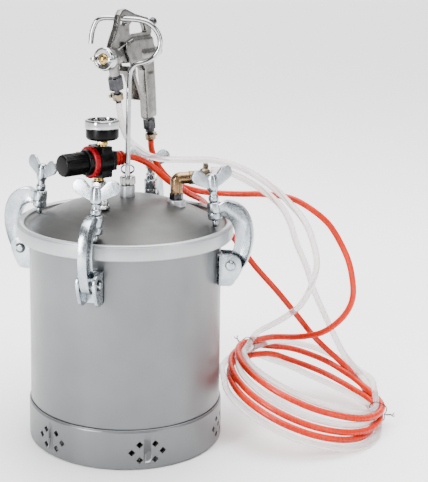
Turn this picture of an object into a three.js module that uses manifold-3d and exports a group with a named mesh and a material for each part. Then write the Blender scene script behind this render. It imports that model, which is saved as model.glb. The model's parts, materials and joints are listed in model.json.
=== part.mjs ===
// Ten litre pressure pot with four swing clamps, an air regulator with gauge, a hanger rod that
// carries a pressure-fed spray gun, and its air and fluid hoses wound in one coil beside the pot.
// Millimetres, +Z up, origin at the centre of the base. The clamps stand on the X and Y axes.

import * as THREE from 'three';
import { mergeVertices } from 'three/addons/utils/BufferGeometryUtils.js';
import Module from 'manifold-3d';

const wasm = await Module();
wasm.setup();

// ---------------------------------------------------------------- driving dimensions

const GAP = 0.3;
const RAD = Math.PI / 180;

const BODY_R = 120;
const WALL = 2.5;
const BODY_BOTTOM_Z = 46;
const DISH_Z = 33;
const FLANGE_R = 128;
const FLANGE_Z = 263;

const SKIRT_R = 122;
const SKIRT_Z = 47.8;
const SKIRT_FOOT_R = 111;
const SKIRT_FOOT_T = 2;
const HOLE_SIDE = 6.2;
const HOLE_PITCH = 19;
const HOLE_ROW = 9.6;
const HOLE_Z = 22;

const LID_R = 135;
const LID_Z = 257;
const LID_TOP_Z = 276;
const LID_T = 3.5;
const DOME_R = 118;
const DOME_EDGE_Z = 271;
const DOME_APEX_Z = 305;

const CLAMP_R = 116;
const CLAMP_TILT = 5.4 * RAD;
const FOOT_Z = 273.8;
const FOOT_LENGTH = 8;
const BOSS_D = 17.5;
const SCREW_D = 9;
const PIN_R = 137.5;
const PIN_Z = 230;
const PIN_D = 9;
const ARM_T = 10.5;
const EAR_IN = 8;
const EAR_OUT = 12;
const WING_SPAN = 29;
const WING_T = 3.6;

const HANGER_AZ = 17.5 * RAD;
const ROD_D = 6.4;
const ROD_U = 3;
const LOOP_TOP_Z = 525;

const REG_AT = [-27.8, -19.8];
const REG_AZ = 55.5 * RAD;
const REG_Z = 351;
const GAUGE_AT = [-1.1, -8.7];
const GAUGE_R = 21.5;

const PORT_AT = [62, 15];
const PORT_AZ = 28 * RAD;
const ELBOW_Z = 328;

const GUN_AZ = 13.5 * RAD;
const GUN_AT = [-4.8, -1.5];
const GUN_AXIS_Z = 479;
const FEED_Y = -14.5;
const FEED_Z = 455.5;
const FEED_LEAN = 15 * RAD;

const HOSE_D = 8;
const COIL_AT = [215.4, 90, 45.2];
const COIL_R = 98.6;
const COIL_TILT = 18.3 * RAD;
const COIL_TILT_AZ = -10 * RAD;
const COIL_BUNDLE_R = 13;

// Hose routes, each from its fitting to the coil.
const AIR_FROM_REGULATOR = [
  [-5, 13.4, 351], [2.8, 23.2, 349.8], [11.5, 31.2, 345], [22, 38.5, 337.5], [41, 51, 317],
  [54, 69, 303], [62, 91, 291],
  [67, 114, 281.5], [71, 136, 269.5], [80, 145, 254], [94, 147, 239], [114, 146, 215],
  [138, 149, 184], [166, 157, 151], [192, 170, 115], [214, 181, 84], [231, 186, 65.5],
];
const AIR_FROM_GUN = [
  [12.5, 70.6, 364.4], [13, 72.8, 351.6], [18.5, 76.5, 334], [27.5, 85, 317], [38.5, 98, 303.5],
  [53, 113, 294], [71, 126, 288], [96, 131, 286.5], [122, 128, 288], [150, 127, 290], [187, 127, 287], [211, 127, 276],
  [236, 127, 257], [252, 126, 234], [264, 125, 209], [270, 123, 184], [271, 125, 164], [265, 132, 143],
  [251, 142, 121], [228, 156, 99], [200, 166, 87], [174, 168, 83],
];
const FLUID_FROM_GUN = [
  [-6.1, -7, 422.3], [-5.4, -4, 410.6], [-4.9, 0.2, 399.5], [-4.4, 5, 389], [-2.4, 10.5, 379.5],
  [2, 16, 370], [9, 22, 362], [20, 27, 353.5], [36, 32, 348], [67, 39, 347], [102, 48, 346.5],
  [141, 51, 336.5], [178, 56, 313], [197, 62, 294], [215, 71, 269], [225, 78, 240], [228, 89, 212],
  [219, 110, 177], [209, 128, 154], [199, 141, 137], [186, 152, 123], [172, 160, 110], [155, 163, 98],
  [141, 159, 90],
];
const FLUID_FROM_POT = [
  [101.3, 36, 336.6], [112, 42.2, 336], [123, 49.5, 331.5], [143, 63, 319.5], [165, 77, 302],
  [182, 88, 283],
  [192, 97, 260], [197, 110, 235], [209, 129, 196], [218, 142, 161], [235, 160, 114], [254, 172, 70],
  [262, 175, 57],
];

// ---------------------------------------------------------------- materials

const finish = (color, roughness, metalness) =>
  new THREE.MeshStandardMaterial({ color, roughness, metalness });
const PAINT = finish(0xb4b8ba, 0.42, 0.6);
const LID_PAINT = finish(0x8f9290, 0.45, 0.6);
const ZINC = finish(0xc2c9ce, 0.35, 0.85);
const CHROME = finish(0xd5d5d5, 0.12, 1.0);
const CAST = finish(0x8a8783, 0.38, 0.9);
const BRASS = finish(0xb8863b, 0.32, 0.9);
const BLACK = finish(0x15161a, 0.5, 0.0);
const RED = finish(0xc41522, 0.4, 0.0);
const RUBBER = finish(0x202020, 0.8, 0.0);
const DARK_STEEL = finish(0x3a3a3c, 0.4, 0.8);
const GLASS = finish(0xe8f0f2, 0.05, 0.0);
const ORANGE = finish(0xff4a00, 0.35, 0.0);
const CLEAR = finish(0xe6dede, 0.2, 0.0);

// ---------------------------------------------------------------- shape helpers

// Keeps the positions only, drops collapsed triangles and turns the faces outwards.
function closed(source) {
  const raw = source.clone();
  raw.deleteAttribute('normal');
  raw.deleteAttribute('uv');
  const merged = mergeVertices(raw, 1e-3);
  const p = merged.attributes.position.array;
  let volume = 0;
  let kept = [];
  const index = merged.index.array;
  const a = new THREE.Vector3();
  const b = new THREE.Vector3();
  const c = new THREE.Vector3();
  for (let i = 0; i < index.length; i += 3) {
    const [u, v, w] = [index[i], index[i + 1], index[i + 2]];
    if (u === v || v === w || w === u) continue;
    kept.push(u, v, w);
    a.fromArray(p, 3 * u);
    b.fromArray(p, 3 * v);
    c.fromArray(p, 3 * w);
    volume += a.dot(b.cross(c));
  }
  if (volume < 0) kept = kept.reverse();
  merged.setIndex(kept);
  return merged;
}

function solid(geometry) {
  const g = closed(geometry);
  const mesh = new wasm.Mesh({
    numProp: 3,
    vertProperties: new Float32Array(g.attributes.position.array),
    triVerts: new Uint32Array(g.index.array),
  });
  return new wasm.Manifold(mesh);
}

function surface(manifold) {
  const mesh = manifold.getMesh();
  const g = new THREE.BufferGeometry();
  g.setAttribute('position', new THREE.BufferAttribute(new Float32Array(mesh.vertProperties), 3));
  g.setIndex(Array.from(mesh.triVerts));
  return g;
}

function union(...geometries) {
  return surface(geometries.map(solid).reduce((sum, next) => sum.add(next)));
}

function cut(base, ...tools) {
  return surface(tools.map(solid).reduce((left, tool) => left.subtract(tool), solid(base)));
}

// A body of revolution about Z from [radius, height] pairs.
function turned(profile, segments = 24) {
  const points = profile.map(([r, z]) => new THREE.Vector2(r, z));
  return new THREE.LatheGeometry(points, segments).rotateX(Math.PI / 2);
}

function disc(radius, z0, z1, segments = 24) {
  return turned([[0, z0], [radius, z0], [radius, z1], [0, z1]], segments);
}

function ring(inner, outer, z0, z1, segments = 24) {
  return turned([[inner, z0], [outer, z0], [outer, z1], [inner, z1], [inner, z0]], segments);
}

function shapeOf(corners) {
  return new THREE.Shape(corners.map(([x, z]) => new THREE.Vector2(x, z)));
}

// A flat outline in the XZ plane, given thickness along Y and centred on y.
function plate(outline, thickness, y = 0) {
  const shape = outline instanceof THREE.Shape ? outline : shapeOf(outline);
  const g = new THREE.ExtrudeGeometry(shape, { depth: thickness, bevelEnabled: false, curveSegments: 4 });
  return g.translate(0, 0, -thickness / 2).rotateX(Math.PI / 2).translate(0, y, 0);
}

function block(x0, x1, y0, y1, z0, z1) {
  const g = new THREE.BoxGeometry(x1 - x0, y1 - y0, z1 - z0);
  return g.translate((x0 + x1) / 2, (y0 + y1) / 2, (z0 + z1) / 2);
}

function pointsOf(route) {
  return route.map(([x, y, z]) => new THREE.Vector3(x, y, z));
}

// A round bar along a smooth curve through the points.
function bar(route, radius, steps, sides = 8, tension = 0.5) {
  const path = new THREE.CatmullRomCurve3(pointsOf(route), false, 'centripetal', tension);
  const section = new THREE.Shape();
  for (let i = 0; i < sides; i++) {
    const angle = (2 * Math.PI * i) / sides;
    const [x, y] = [radius * Math.cos(angle), radius * Math.sin(angle)];
    if (i === 0) section.moveTo(x, y);
    else section.lineTo(x, y);
  }
  return new THREE.ExtrudeGeometry(section, { steps, extrudePath: path, bevelEnabled: false });
}

// A straight cylinder between two points.
function rodBetween(from, to, radius, segments = 16) {
  const start = new THREE.Vector3(...from);
  const axis = new THREE.Vector3(...to).sub(start);
  const g = disc(radius, 0, axis.length(), segments);
  const turn = new THREE.Quaternion().setFromUnitVectors(new THREE.Vector3(0, 0, 1), axis.normalize());
  return g.applyQuaternion(turn).translate(...from);
}

// A body of revolution whose +Z is laid along +X.
const alongX = (geometry) => geometry.rotateY(Math.PI / 2);

function piece(name, geometry, material) {
  const mesh = new THREE.Mesh(closed(geometry), material);
  mesh.name = name;
  return mesh;
}

function groupAt([x, y, z = 0], azimuth, pieces) {
  const group = new THREE.Group();
  group.position.set(x, y, z);
  group.rotation.z = azimuth;
  group.add(...pieces);
  return group;
}

// ---------------------------------------------------------------- pot and lid

// Height of the domed lid's outer face at a radius.
function domeZ(radius) {
  const rise = DOME_APEX_Z - DOME_EDGE_Z;
  const sphere = (DOME_R * DOME_R + rise * rise) / (2 * rise);
  return DOME_APEX_Z - sphere + Math.sqrt(sphere * sphere - radius * radius);
}

function domeProfile(offset, steps = 4) {
  const profile = [];
  for (let i = 0; i <= steps; i++) {
    const r = (DOME_R * i) / steps;
    profile.push([r, domeZ(r) - offset]);
  }
  return profile;
}

function tankShell() {
  const inner = BODY_R - WALL;
  const profile = [
    [0, DISH_Z], [60, DISH_Z + 3], [100, DISH_Z + 7], [113, DISH_Z + 10], [BODY_R, BODY_BOTTOM_Z + 4],
    [BODY_R, FLANGE_Z - 6], [FLANGE_R, FLANGE_Z - 5], [FLANGE_R, FLANGE_Z], [inner, FLANGE_Z],
    [inner, BODY_BOTTOM_Z + 5], [111, DISH_Z + 13], [60, DISH_Z + 6], [0, DISH_Z + 3],
  ];
  return turned(profile, 36);
}

function diamond(angle, row, column) {
  const at = angle + column / SKIRT_R;
  const hole = new THREE.BoxGeometry(12, HOLE_SIDE, HOLE_SIDE).rotateX(Math.PI / 4);
  return hole.translate(SKIRT_R - 1, 0, HOLE_Z + row).rotateZ(at);
}

function baseSkirt() {
  const inner = BODY_R + GAP;
  const profile = [
    [SKIRT_FOOT_R, 0], [SKIRT_R - 2, 0], [SKIRT_R, 2], [SKIRT_R, SKIRT_Z], [inner, SKIRT_Z],
    [inner, SKIRT_FOOT_T + 1], [inner - 1, SKIRT_FOOT_T], [SKIRT_FOOT_R, SKIRT_FOOT_T], [SKIRT_FOOT_R, 0],
  ];
  const holes = [];
  for (let i = 0; i < 6; i++) {
    const angle = (-120 + 60 * i) * RAD;
    for (const [row, count] of [[-HOLE_ROW, 2], [0, 3], [HOLE_ROW, 2]]) {
      for (let k = 0; k < count; k++) holes.push(diamond(angle, row, (k - (count - 1) / 2) * HOLE_PITCH));
    }
  }
  return cut(turned(profile, 40), ...holes);
}

function lid() {
  const band = [
    [124, 270.5], [127, 274.5], [129.5, LID_TOP_Z], [133, LID_TOP_Z], [LID_R, LID_TOP_Z - 2],
    [LID_R, LID_Z + 1.5], [LID_R - 1.5, LID_Z], [LID_R - 4.5, LID_Z], [LID_R - 4.5, FLANGE_Z + 4],
    [DOME_R + 1, FLANGE_Z + 4],
  ];
  const shell = turned([...domeProfile(0), ...band, ...domeProfile(LID_T).reverse()], 36);
  const hangerBoss = disc(9.4, 303, 318.6, 20);
  const hangerAt = [ROD_U * Math.cos(HANGER_AZ), ROD_U * Math.sin(HANGER_AZ)];
  hangerBoss.translate(...hangerAt, 0);
  const portBase = domeZ(Math.hypot(...PORT_AT));
  const portBoss = disc(11.5, portBase - 3.5, portBase + 5.6, 20).translate(...PORT_AT, 0);
  const airBase = domeZ(Math.hypot(...REG_AT));
  const airBoss = disc(11, airBase - 3, airBase + 3.4, 20).translate(...REG_AT, 0);
  const tubeHole = disc(6.3, 280, 304, 14).translate(...PORT_AT, 0);
  return cut(union(shell, hangerBoss, portBoss, airBoss), tubeHole);
}

function potPieces() {
  return [
    piece('tank_shell', tankShell(), PAINT),
    piece('base_skirt', baseSkirt(), PAINT),
    piece('lid', lid(), LID_PAINT),
    piece('lid_gasket', ring(119, 127.5, FLANGE_Z + GAP, FLANGE_Z + 4 - GAP, 32), RUBBER),
  ];
}

// ---------------------------------------------------------------- swing clamps

// Everything here lies in the clamp's own frame: +X is outwards from the pot, and the screw's
// foot bears on the lid at x = CLAMP_R.

function tilted(geometry) {
  return geometry.rotateY(-CLAMP_TILT).translate(CLAMP_R, 0, FOOT_Z);
}

function clampArm() {
  const outline = new THREE.Shape();
  outline.moveTo(119, 302.5);
  outline.lineTo(128, 308);
  outline.quadraticCurveTo(152, 308, 160, 284);
  outline.quadraticCurveTo(166, 262, 158, 240);
  outline.quadraticCurveTo(154, 226, 146, 221);
  outline.quadraticCurveTo(134, 216, 129, 226);
  outline.quadraticCurveTo(128, 236, 136, 241.5);
  outline.quadraticCurveTo(143, 256, 140, 272);
  outline.quadraticCurveTo(137, 285, 126, 288);
  outline.lineTo(117, 288);
  const boss = tilted(disc(BOSS_D / 2, 9.5, 31, 16));
  const pinBoss = rodBetween([PIN_R, -EAR_IN + 0.4, PIN_Z], [PIN_R, EAR_IN - 0.4, PIN_Z], 9, 14);
  const screwHole = tilted(disc(SCREW_D / 2 + GAP, 0, 40, 12));
  const pinHole = rodBetween([PIN_R, -20, PIN_Z], [PIN_R, 20, PIN_Z], PIN_D / 2 + GAP, 12);
  return cut(union(plate(outline, ARM_T), boss, pinBoss), screwHole, pinHole);
}

function clampFoot() {
  return tilted(turned([[0, 0], [2.2, 0.2], [3.7, 1.8], [3.7, FOOT_LENGTH], [0, FOOT_LENGTH]], 12));
}

function wing(side) {
  const outline = new THREE.Shape();
  outline.moveTo(0, 49);
  outline.lineTo(side * 5, 47.5);
  outline.lineTo(side * 14, 51.5);
  const [from, to] = side > 0 ? [-1.1, 2.3] : [-2.05, 0.85 - 2 * Math.PI];
  outline.absarc(side * (WING_SPAN - 9), 64.5, 9, from, to, side < 0);
  outline.lineTo(side * 6, 63);
  outline.lineTo(0, 62);
  return plate(outline, WING_T);
}

function wingBolt(turn) {
  const shank = turned([
    [0, FOOT_LENGTH + GAP], [SCREW_D / 2, FOOT_LENGTH + GAP], [SCREW_D / 2, 33], [6.2, 34.5], [6.2, 37.5],
    [5, 39], [5, 44], [7, 46], [6.6, 60], [5.4, 64], [0, 64],
  ], 12);
  return tilted(union(shank, wing(1), wing(-1)).rotateZ(turn));
}

function clampBracket() {
  const ear = [
    [BODY_R + GAP, 243], [143, 243.5], [149.5, 239], [151, 229], [147, 218], [139.5, 204],
    [BODY_R + GAP, 203],
  ];
  const base = block(BODY_R + GAP, BODY_R + 4, -EAR_OUT, EAR_OUT, 204, 242);
  const thickness = EAR_OUT - EAR_IN;
  const middle = (EAR_OUT + EAR_IN) / 2;
  const pinHole = rodBetween([PIN_R, -20, PIN_Z], [PIN_R, 20, PIN_Z], PIN_D / 2 + GAP, 12);
  return cut(union(plate(ear, thickness, middle), plate(ear, thickness, -middle), base), pinHole);
}

function clampPin() {
  const shank = rodBetween([PIN_R, -15, PIN_Z], [PIN_R, 15, PIN_Z], PIN_D / 2, 12);
  const head = rodBetween([PIN_R, -15.5, PIN_Z], [PIN_R, -12.4, PIN_Z], 6.2, 12);
  return union(shank, head);
}

function clampPieces() {
  const places = [['front', -90, 90], ['right', 0, 46], ['back', 90, 80], ['left', 180, -32]];
  return places.map(([place, azimuth, wingTurn]) =>
    groupAt([0, 0], azimuth * RAD, [
      piece(`clamp_bracket_${place}`, clampBracket(), ZINC),
      piece(`clamp_pin_${place}`, clampPin(), ZINC),
      piece(`clamp_arm_${place}`, clampArm(), ZINC),
      piece(`clamp_foot_${place}`, clampFoot(), ZINC),
      piece(`wing_bolt_${place}`, wingBolt(wingTurn * RAD), ZINC),
    ]));
}

// ---------------------------------------------------------------- hanger rod

function hangerRod() {
  const route = [
    [ROD_U, 0, 319], [ROD_U, 0, 335], [ROD_U + 0.5, 0, 380], [ROD_U + 1.5, 0, 440], [ROD_U + 2.2, 0, 455],
    [ROD_U + 4.5, 0, 464], [ROD_U + 10, 0, 469], [ROD_U + 20, 0, 471.5], [ROD_U + 31, 0, 477],
    [ROD_U + 38.5, 0, 488], [ROD_U + 39.5, 0, 500], [ROD_U + 35, 0, 511], [ROD_U + 26, 0, 519.5],
    [ROD_U + 14, 0, 523.5], [0, 0, LOOP_TOP_Z], [-15, 0, LOOP_TOP_Z + 1], [-27, 0, LOOP_TOP_Z + 1],
    [-34, 0, LOOP_TOP_Z - 2], [-38, 0, LOOP_TOP_Z - 9], [-40.5, 0, 508], [-42, 0, 495],
  ];
  return bar(route, ROD_D / 2, 44, 8);
}

function chainRing() {
  const lean = -58 * RAD;
  return new THREE.TorusGeometry(8, 0.8, 6, 18).rotateX(lean).translate(ROD_U, 0, 338.2);
}

function hangerPieces() {
  const nut = turned([
    [4, 319], [8.3, 319], [9.2, 320.2], [9.2, 328.6], [8.3, 329.9], [4, 329.9], [4, 319],
  ], 12);
  const group = [
    piece('hanger_lock_nut', nut.translate(ROD_U, 0, 0), ZINC),
    piece('hanger_rod', hangerRod(), CHROME),
    piece('chain_ring', chainRing(), ZINC),
  ];
  return groupAt([0, 0], HANGER_AZ, group);
}

// ---------------------------------------------------------------- regulator and gauge

// In the regulator's own frame +X points to the hose outlet and -X to the pressure knob.

function regulatorRiser() {
  const base = domeZ(Math.hypot(...REG_AT)) + 3.4 + GAP - REG_Z;
  const hex = disc(9.6, base, -25, 6);
  const neck = disc(5, -25.5, -19.7, 16);
  return union(hex, neck);
}

function regulatorBody() {
  const core = alongX(disc(18.5, -9, 12, 12).rotateZ(15 * RAD));
  const block1 = block(-9, 12, -15, 15, -19.4, 19.4);
  const port = block(12, 19.5, -12, 12, -12, 12);
  return union(core, block1, port);
}

function regulatorBonnet() {
  const profile = [[0, -23], [16.5, -23], [18, -20.5], [18, -17], [20, -17], [20, -9.3], [0, -9.3]];
  return alongX(turned(profile, 24));
}

function regulatorKnob() {
  const profile = [[0, -56], [12.4, -56], [14, -54.4], [14, -23.3], [0, -23.3]];
  return alongX(turned(profile, 24));
}

function outletCoupling() {
  const profile = [
    [0, 19.8], [6.5, 19.8], [6.5, 21.5], [9.3, 22.5], [9.3, 25.5], [8, 26.5], [9.3, 27.5], [9.3, 30.5],
    [8, 31.5], [9.3, 32.5], [9.3, 35.5], [5.4, 39.5], [0, 39.5],
  ];
  return alongX(turned(profile, 12));
}

function airInletPlug() {
  const profile = [
    [0, 19.3], [7.5, 19.3], [7.5, 26], [5.5, 27], [5.5, 34], [4.4, 36], [5.6, 38], [5.6, 46], [0, 46],
  ];
  return turned(profile, 14).rotateX(-Math.PI / 2);
}

function gaugePieces() {
  const caseShell = [
    [0, 28], [17, 28], [20.3, 31], [20.3, 42], [18, 42], [18, 39], [0, 39],
  ];
  const bezel = [
    [18.6, 42.3], [20.6, 42.3], [GAUGE_R, 44.3], [GAUGE_R, 51.6], [20.3, 53], [17.6, 53], [17.6, 50.2],
    [18.6, 50.2], [18.6, 42.3],
  ];
  const pointer = [[-5, 0], [-1.2, -1.1], [12.5, -0.35], [12.5, 0.35], [-1.2, 1.1]];
  const needle = plate(pointer, 0.8).rotateX(Math.PI / 2);
  const hub = disc(2.2, 40.2, 43.2, 12);
  return [
    piece('gauge_stem', union(disc(5, 19.7, 27.7, 12), disc(7, 22, 26.2, 6)), BRASS),
    piece('gauge_case', turned(caseShell, 20), BLACK),
    piece('gauge_bezel', turned(bezel, 20), CHROME),
    piece('gauge_needle', union(needle.translate(0, 0, 42), hub), BLACK),
    piece('gauge_lens', disc(18, 47.6, 49.8, 20), GLASS),
  ];
}

function regulatorPieces() {
  const gauge = groupAt(GAUGE_AT, 0, gaugePieces());
  return groupAt([...REG_AT, REG_Z], REG_AZ, [
    piece('regulator_riser', regulatorRiser(), ZINC),
    piece('regulator_body', regulatorBody(), BLACK),
    piece('regulator_bonnet', regulatorBonnet(), RED),
    piece('regulator_knob', regulatorKnob(), BLACK),
    piece('air_outlet_coupling', outletCoupling(), RED),
    piece('air_inlet_plug', airInletPlug(), BRASS),
    gauge,
  ]);
}

// ---------------------------------------------------------------- safety valve

function safetyValvePieces() {
  const at = [-9.2, -54.3];
  const base = domeZ(Math.hypot(...at)) + 1.6;
  const body = turned([
    [0, 0], [6.5, 0], [6.5, 4.5], [4.6, 5], [4.6, 11], [3.4, 12], [0, 12],
  ], 12).translate(0, 0, base);
  const stem = disc(1.1, base + 12 + GAP, base + 15.4, 8);
  const hoop = new THREE.TorusGeometry(4.6, 0.9, 6, 16).rotateX(Math.PI / 2).translate(0, 0, base + 19.6);
  return groupAt(at, 0, [
    piece('safety_valve', body, BRASS),
    piece('safety_valve_ring', union(stem, hoop), ZINC),
  ]);
}

// ---------------------------------------------------------------- fluid outlet

function fluidOutletPieces() {
  const base = domeZ(Math.hypot(...PORT_AT)) + 5.6 + GAP;
  const leg = union(disc(8.4, base, base + 8, 6), disc(7.6, base + 7, ELBOW_Z + 7.2, 16));
  const arm = alongX(disc(7.4, 0, 24, 16)).translate(0, 0, ELBOW_Z);
  const elbow = union(leg, arm);
  const out = [24.3, 0, ELBOW_Z];
  const tip = [43, 0, ELBOW_Z + 8];
  const clampTip = [41.7, 0, ELBOW_Z + 7.4];
  const clampStart = [33, 0, ELBOW_Z + 3.6];
  const tail = union(
    alongX(disc(6.6, 24.3, 30, 6)).translate(0, 0, ELBOW_Z),
    rodBetween([28, 0, ELBOW_Z + 1], tip, 3.4, 12));
  const band = rodBetween(clampStart, clampTip, 7.6, 16);
  const clamp = cut(
    union(band, block(34, 40, -3, 3, ELBOW_Z + 10, ELBOW_Z + 18)),
    rodBetween([30, 0, ELBOW_Z + 2.3], [46, 0, ELBOW_Z + 9.3], 5.2, 14));
  const pot = groupAt(PORT_AT, PORT_AZ, [
    piece('fluid_elbow', elbow, BRASS),
    piece('fluid_hose_tail', tail, DARK_STEEL),
    piece('fluid_hose_clamp', clamp, BRASS),
  ]);
  const tube = turned([[4, 58], [5.5, 58], [5.5, base - GAP], [4, base - GAP], [4, 58]], 16);
  return [pot, groupAt(PORT_AT, 0, [piece('pickup_tube', tube, ZINC)])];
}

// ---------------------------------------------------------------- spray gun

// In the gun's own frame -Y is forwards, and the rod passes through the hook at the origin.
// Side outlines are drawn as [backwards, height].

function gunSide(outline, thickness, across = 0) {
  return plate(outline, thickness).rotateZ(Math.PI / 2).translate(across, 0, 0);
}

function gunBarrel(profile, segments = 20) {
  const points = profile.map(([r, forward]) => [r, forward]);
  return turned(points, segments).rotateX(Math.PI / 2).translate(0, 0, GUN_AXIS_Z);
}

// Lays a shape whose +Z is up onto the leaning fluid feed below the head.
const onFeed = (geometry) => geometry.rotateX(FEED_LEAN).translate(0, FEED_Y, FEED_Z);

function gunBody() {
  const hook = [
    [-31, 488], [-26, 499], [-15, 516], [-10, 530], [-3, 536.5], [6, 537.5], [30, 530], [60, 524],
    [66, 518], [70, 505], [60, 492], [20, 492],
  ];
  const frame = [
    [-15, 472], [-15, 489], [20, 500], [68, 500], [74, 486], [72, 470], [76, 440], [80, 396], [58, 394],
    [55, 420], [49, 458], [40, 468],
  ];
  const barrel = gunBarrel([[0, 8], [9, 8], [11, 10.5], [11, 22.5], [12.5, 24], [12.5, 31], [0, 31]]);
  const feed = onFeed(disc(6.5, 0, 18, 14));
  const eye = [[-8, 519], [-8, 526], [-5, 529], [5, 529], [8, 526], [8, 519], [4, 516.5], [-4, 516.5]];
  const window = [[16, 505], [14, 517], [22, 522], [52, 517], [58, 506]];
  const bossHole = gunBarrel([[0, 22.5], [7, 22.5], [7, 35], [0, 35]], 16);
  const casting = union(gunSide(hook, 8), gunSide(frame, 13.6), barrel, feed);
  return cut(casting, gunSide(eye, 20), gunSide(window, 20), bossHole);
}

function gunAirCap() {
  const cap = gunBarrel([
    [7.2, 31.3], [13.4, 31.3], [14.5, 33], [14.5, 40.5], [12.6, 42.3], [9, 43.6], [7.2, 43.6], [7.2, 31.3],
  ]);
  const horns = [1, -1].map((side) =>
    block(side > 0 ? 10 : -14.2, side > 0 ? 14.2 : -10, -49.5, -38, GUN_AXIS_Z - 3.4, GUN_AXIS_Z + 3.4));
  return union(cap, ...horns);
}

function gunTrigger() {
  const ear = [[-2, 497], [7, 497], [11, 480], [15, 466], [19, 456], [13, 457], [8, 470], [-3, 486]];
  const bridge = [[10, 460], [12, 466], [19, 466], [22, 456], [12, 456]];
  const pull = [
    [12, 462], [19, 464], [26, 450], [33, 436], [38, 426], [39, 421], [35, 421], [28, 434], [20, 448],
  ];
  return union(gunSide(ear, 2, 8.4), gunSide(ear, 2, -8.4), gunSide(bridge, 18.8), gunSide(pull, 15));
}

function hoseClampOn(z0, z1, radius) {
  const band = ring(radius, radius + 1.6, z0, z1, 18);
  const ears = block(-2.6, 2.6, radius + 0.8, radius + 7, z0 + 0.4, z1 - 0.4);
  return union(band, ears);
}

function gunPieces() {
  const inlet = onFeed(union(disc(9.4, -16, -0.3, 6), disc(3.6, -34, -15, 12)));
  const lean = 10 * RAD;
  const airFitting = union(disc(8.4, -13, -0.3, 6), disc(6, -18, -12, 14), disc(3.6, -29.5, -17, 12))
    .rotateX(lean).translate(0, 69, 393.5);
  const airClamp = hoseClampOn(-28, -20.5, 5.4).rotateX(lean).translate(0, 69, 393.5);
  const knobProfile = [[0, -92], [6.5, -92], [7.5, -90.5], [7.5, -80], [4, -78.5], [4, -74.5], [0, -74.5]];
  const nozzleProfile = [[0, 22.8], [6.7, 22.8], [6.7, 43], [5, 45], [1.8, 46], [0, 46]];
  const fanKnob = turned([[0, 0.4], [3, 0.4], [3, 5], [5.2, 6], [5.2, 13], [0, 13]], 14)
    .rotateX(-68 * RAD).translate(0, 68.5, 514);
  return groupAt(GUN_AT, -GUN_AZ, [
    piece('gun_body', gunBody(), CAST),
    piece('gun_air_cap', gunAirCap(), CHROME),
    piece('gun_nozzle', gunBarrel(nozzleProfile, 16), BRASS),
    piece('gun_trigger', gunTrigger(), CAST),
    piece('gun_fluid_inlet', inlet, DARK_STEEL),
    piece('gun_fluid_clamp', onFeed(hoseClampOn(-30, -22, 5.4)), BRASS),
    piece('gun_air_inlet', airFitting, DARK_STEEL),
    piece('gun_air_clamp', airClamp, BRASS),
    piece('gun_fluid_knob', gunBarrel(knobProfile, 16), CHROME),
    piece('gun_fan_knob', fanKnob, DARK_STEEL),
  ]);
}

// ---------------------------------------------------------------- hoses

function hoseCoil() {
  const section = [];
  for (let i = 0; i <= 8; i++) {
    const angle = (2 * Math.PI * i) / 8;
    section.push([COIL_R + COIL_BUNDLE_R * Math.cos(angle), COIL_BUNDLE_R * Math.sin(angle)]);
  }
  section[8] = section[0];
  const tilt = new THREE.Vector3(-Math.sin(COIL_TILT_AZ), Math.cos(COIL_TILT_AZ), 0);
  const lean = new THREE.Quaternion().setFromAxisAngle(tilt, COIL_TILT);
  return turned(section, 28).applyQuaternion(lean).translate(...COIL_AT);
}

function hosePieces() {
  const hose = (name, route, steps, material) => piece(name, bar(route, HOSE_D / 2, steps), material);
  return [
    hose('air_hose_pot_run', AIR_FROM_REGULATOR, 18, ORANGE),
    hose('air_hose_gun_run', AIR_FROM_GUN, 26, ORANGE),
    hose('fluid_hose_gun_run', FLUID_FROM_GUN, 22, CLEAR),
    hose('fluid_hose_pot_run', FLUID_FROM_POT, 16, CLEAR),
    piece('hose_coil', hoseCoil(), ORANGE),
  ];
}

// ---------------------------------------------------------------- assembly

const pot = new THREE.Group();
pot.add(...potPieces());
pot.add(...clampPieces());
pot.add(hangerPieces());
pot.add(regulatorPieces());
pot.add(safetyValvePieces());
pot.add(...fluidOutletPieces());
pot.add(gunPieces());
pot.add(...hosePieces());

export default pot;
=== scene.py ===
"""A ten litre pressure pot with swing clamps, a regulator, a hung spray gun and coiled hoses.

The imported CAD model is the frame. Each family of pieces has its own section: it is drawn in
millimetres in its own frame, which a joint or a node's box places on the pot.
"""
import json
from math import atan2, copysign, cos, degrees, hypot, pi, radians, sin, sqrt

import bmesh
import bpy
import numpy as np
from mathutils import Matrix, Vector


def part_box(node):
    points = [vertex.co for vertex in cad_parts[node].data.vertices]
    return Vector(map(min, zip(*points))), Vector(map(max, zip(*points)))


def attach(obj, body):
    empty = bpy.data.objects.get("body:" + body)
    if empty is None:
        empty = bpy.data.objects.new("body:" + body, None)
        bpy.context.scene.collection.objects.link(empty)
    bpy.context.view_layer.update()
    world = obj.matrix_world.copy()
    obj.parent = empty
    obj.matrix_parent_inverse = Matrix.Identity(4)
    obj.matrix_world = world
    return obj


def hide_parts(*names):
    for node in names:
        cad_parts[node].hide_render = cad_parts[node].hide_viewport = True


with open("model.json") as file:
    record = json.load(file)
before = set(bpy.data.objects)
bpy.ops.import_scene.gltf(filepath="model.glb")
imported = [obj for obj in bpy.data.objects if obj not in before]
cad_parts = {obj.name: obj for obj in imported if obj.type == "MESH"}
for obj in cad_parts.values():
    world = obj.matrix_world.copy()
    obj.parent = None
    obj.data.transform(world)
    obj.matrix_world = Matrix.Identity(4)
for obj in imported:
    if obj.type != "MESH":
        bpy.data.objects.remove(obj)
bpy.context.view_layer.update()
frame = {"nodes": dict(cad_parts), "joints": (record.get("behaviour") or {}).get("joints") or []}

MM = 0.001
JOINTS = {joint["name"]: joint for joint in frame["joints"]}
PLACES = ("front", "right", "back", "left")


def millimetres(point):
    return Vector(point) / MM


def shift(x, y, z):
    return Matrix.Translation((x, y, z))


def spun(angle, axis):
    return Matrix.Rotation(radians(angle), 4, axis)


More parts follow.
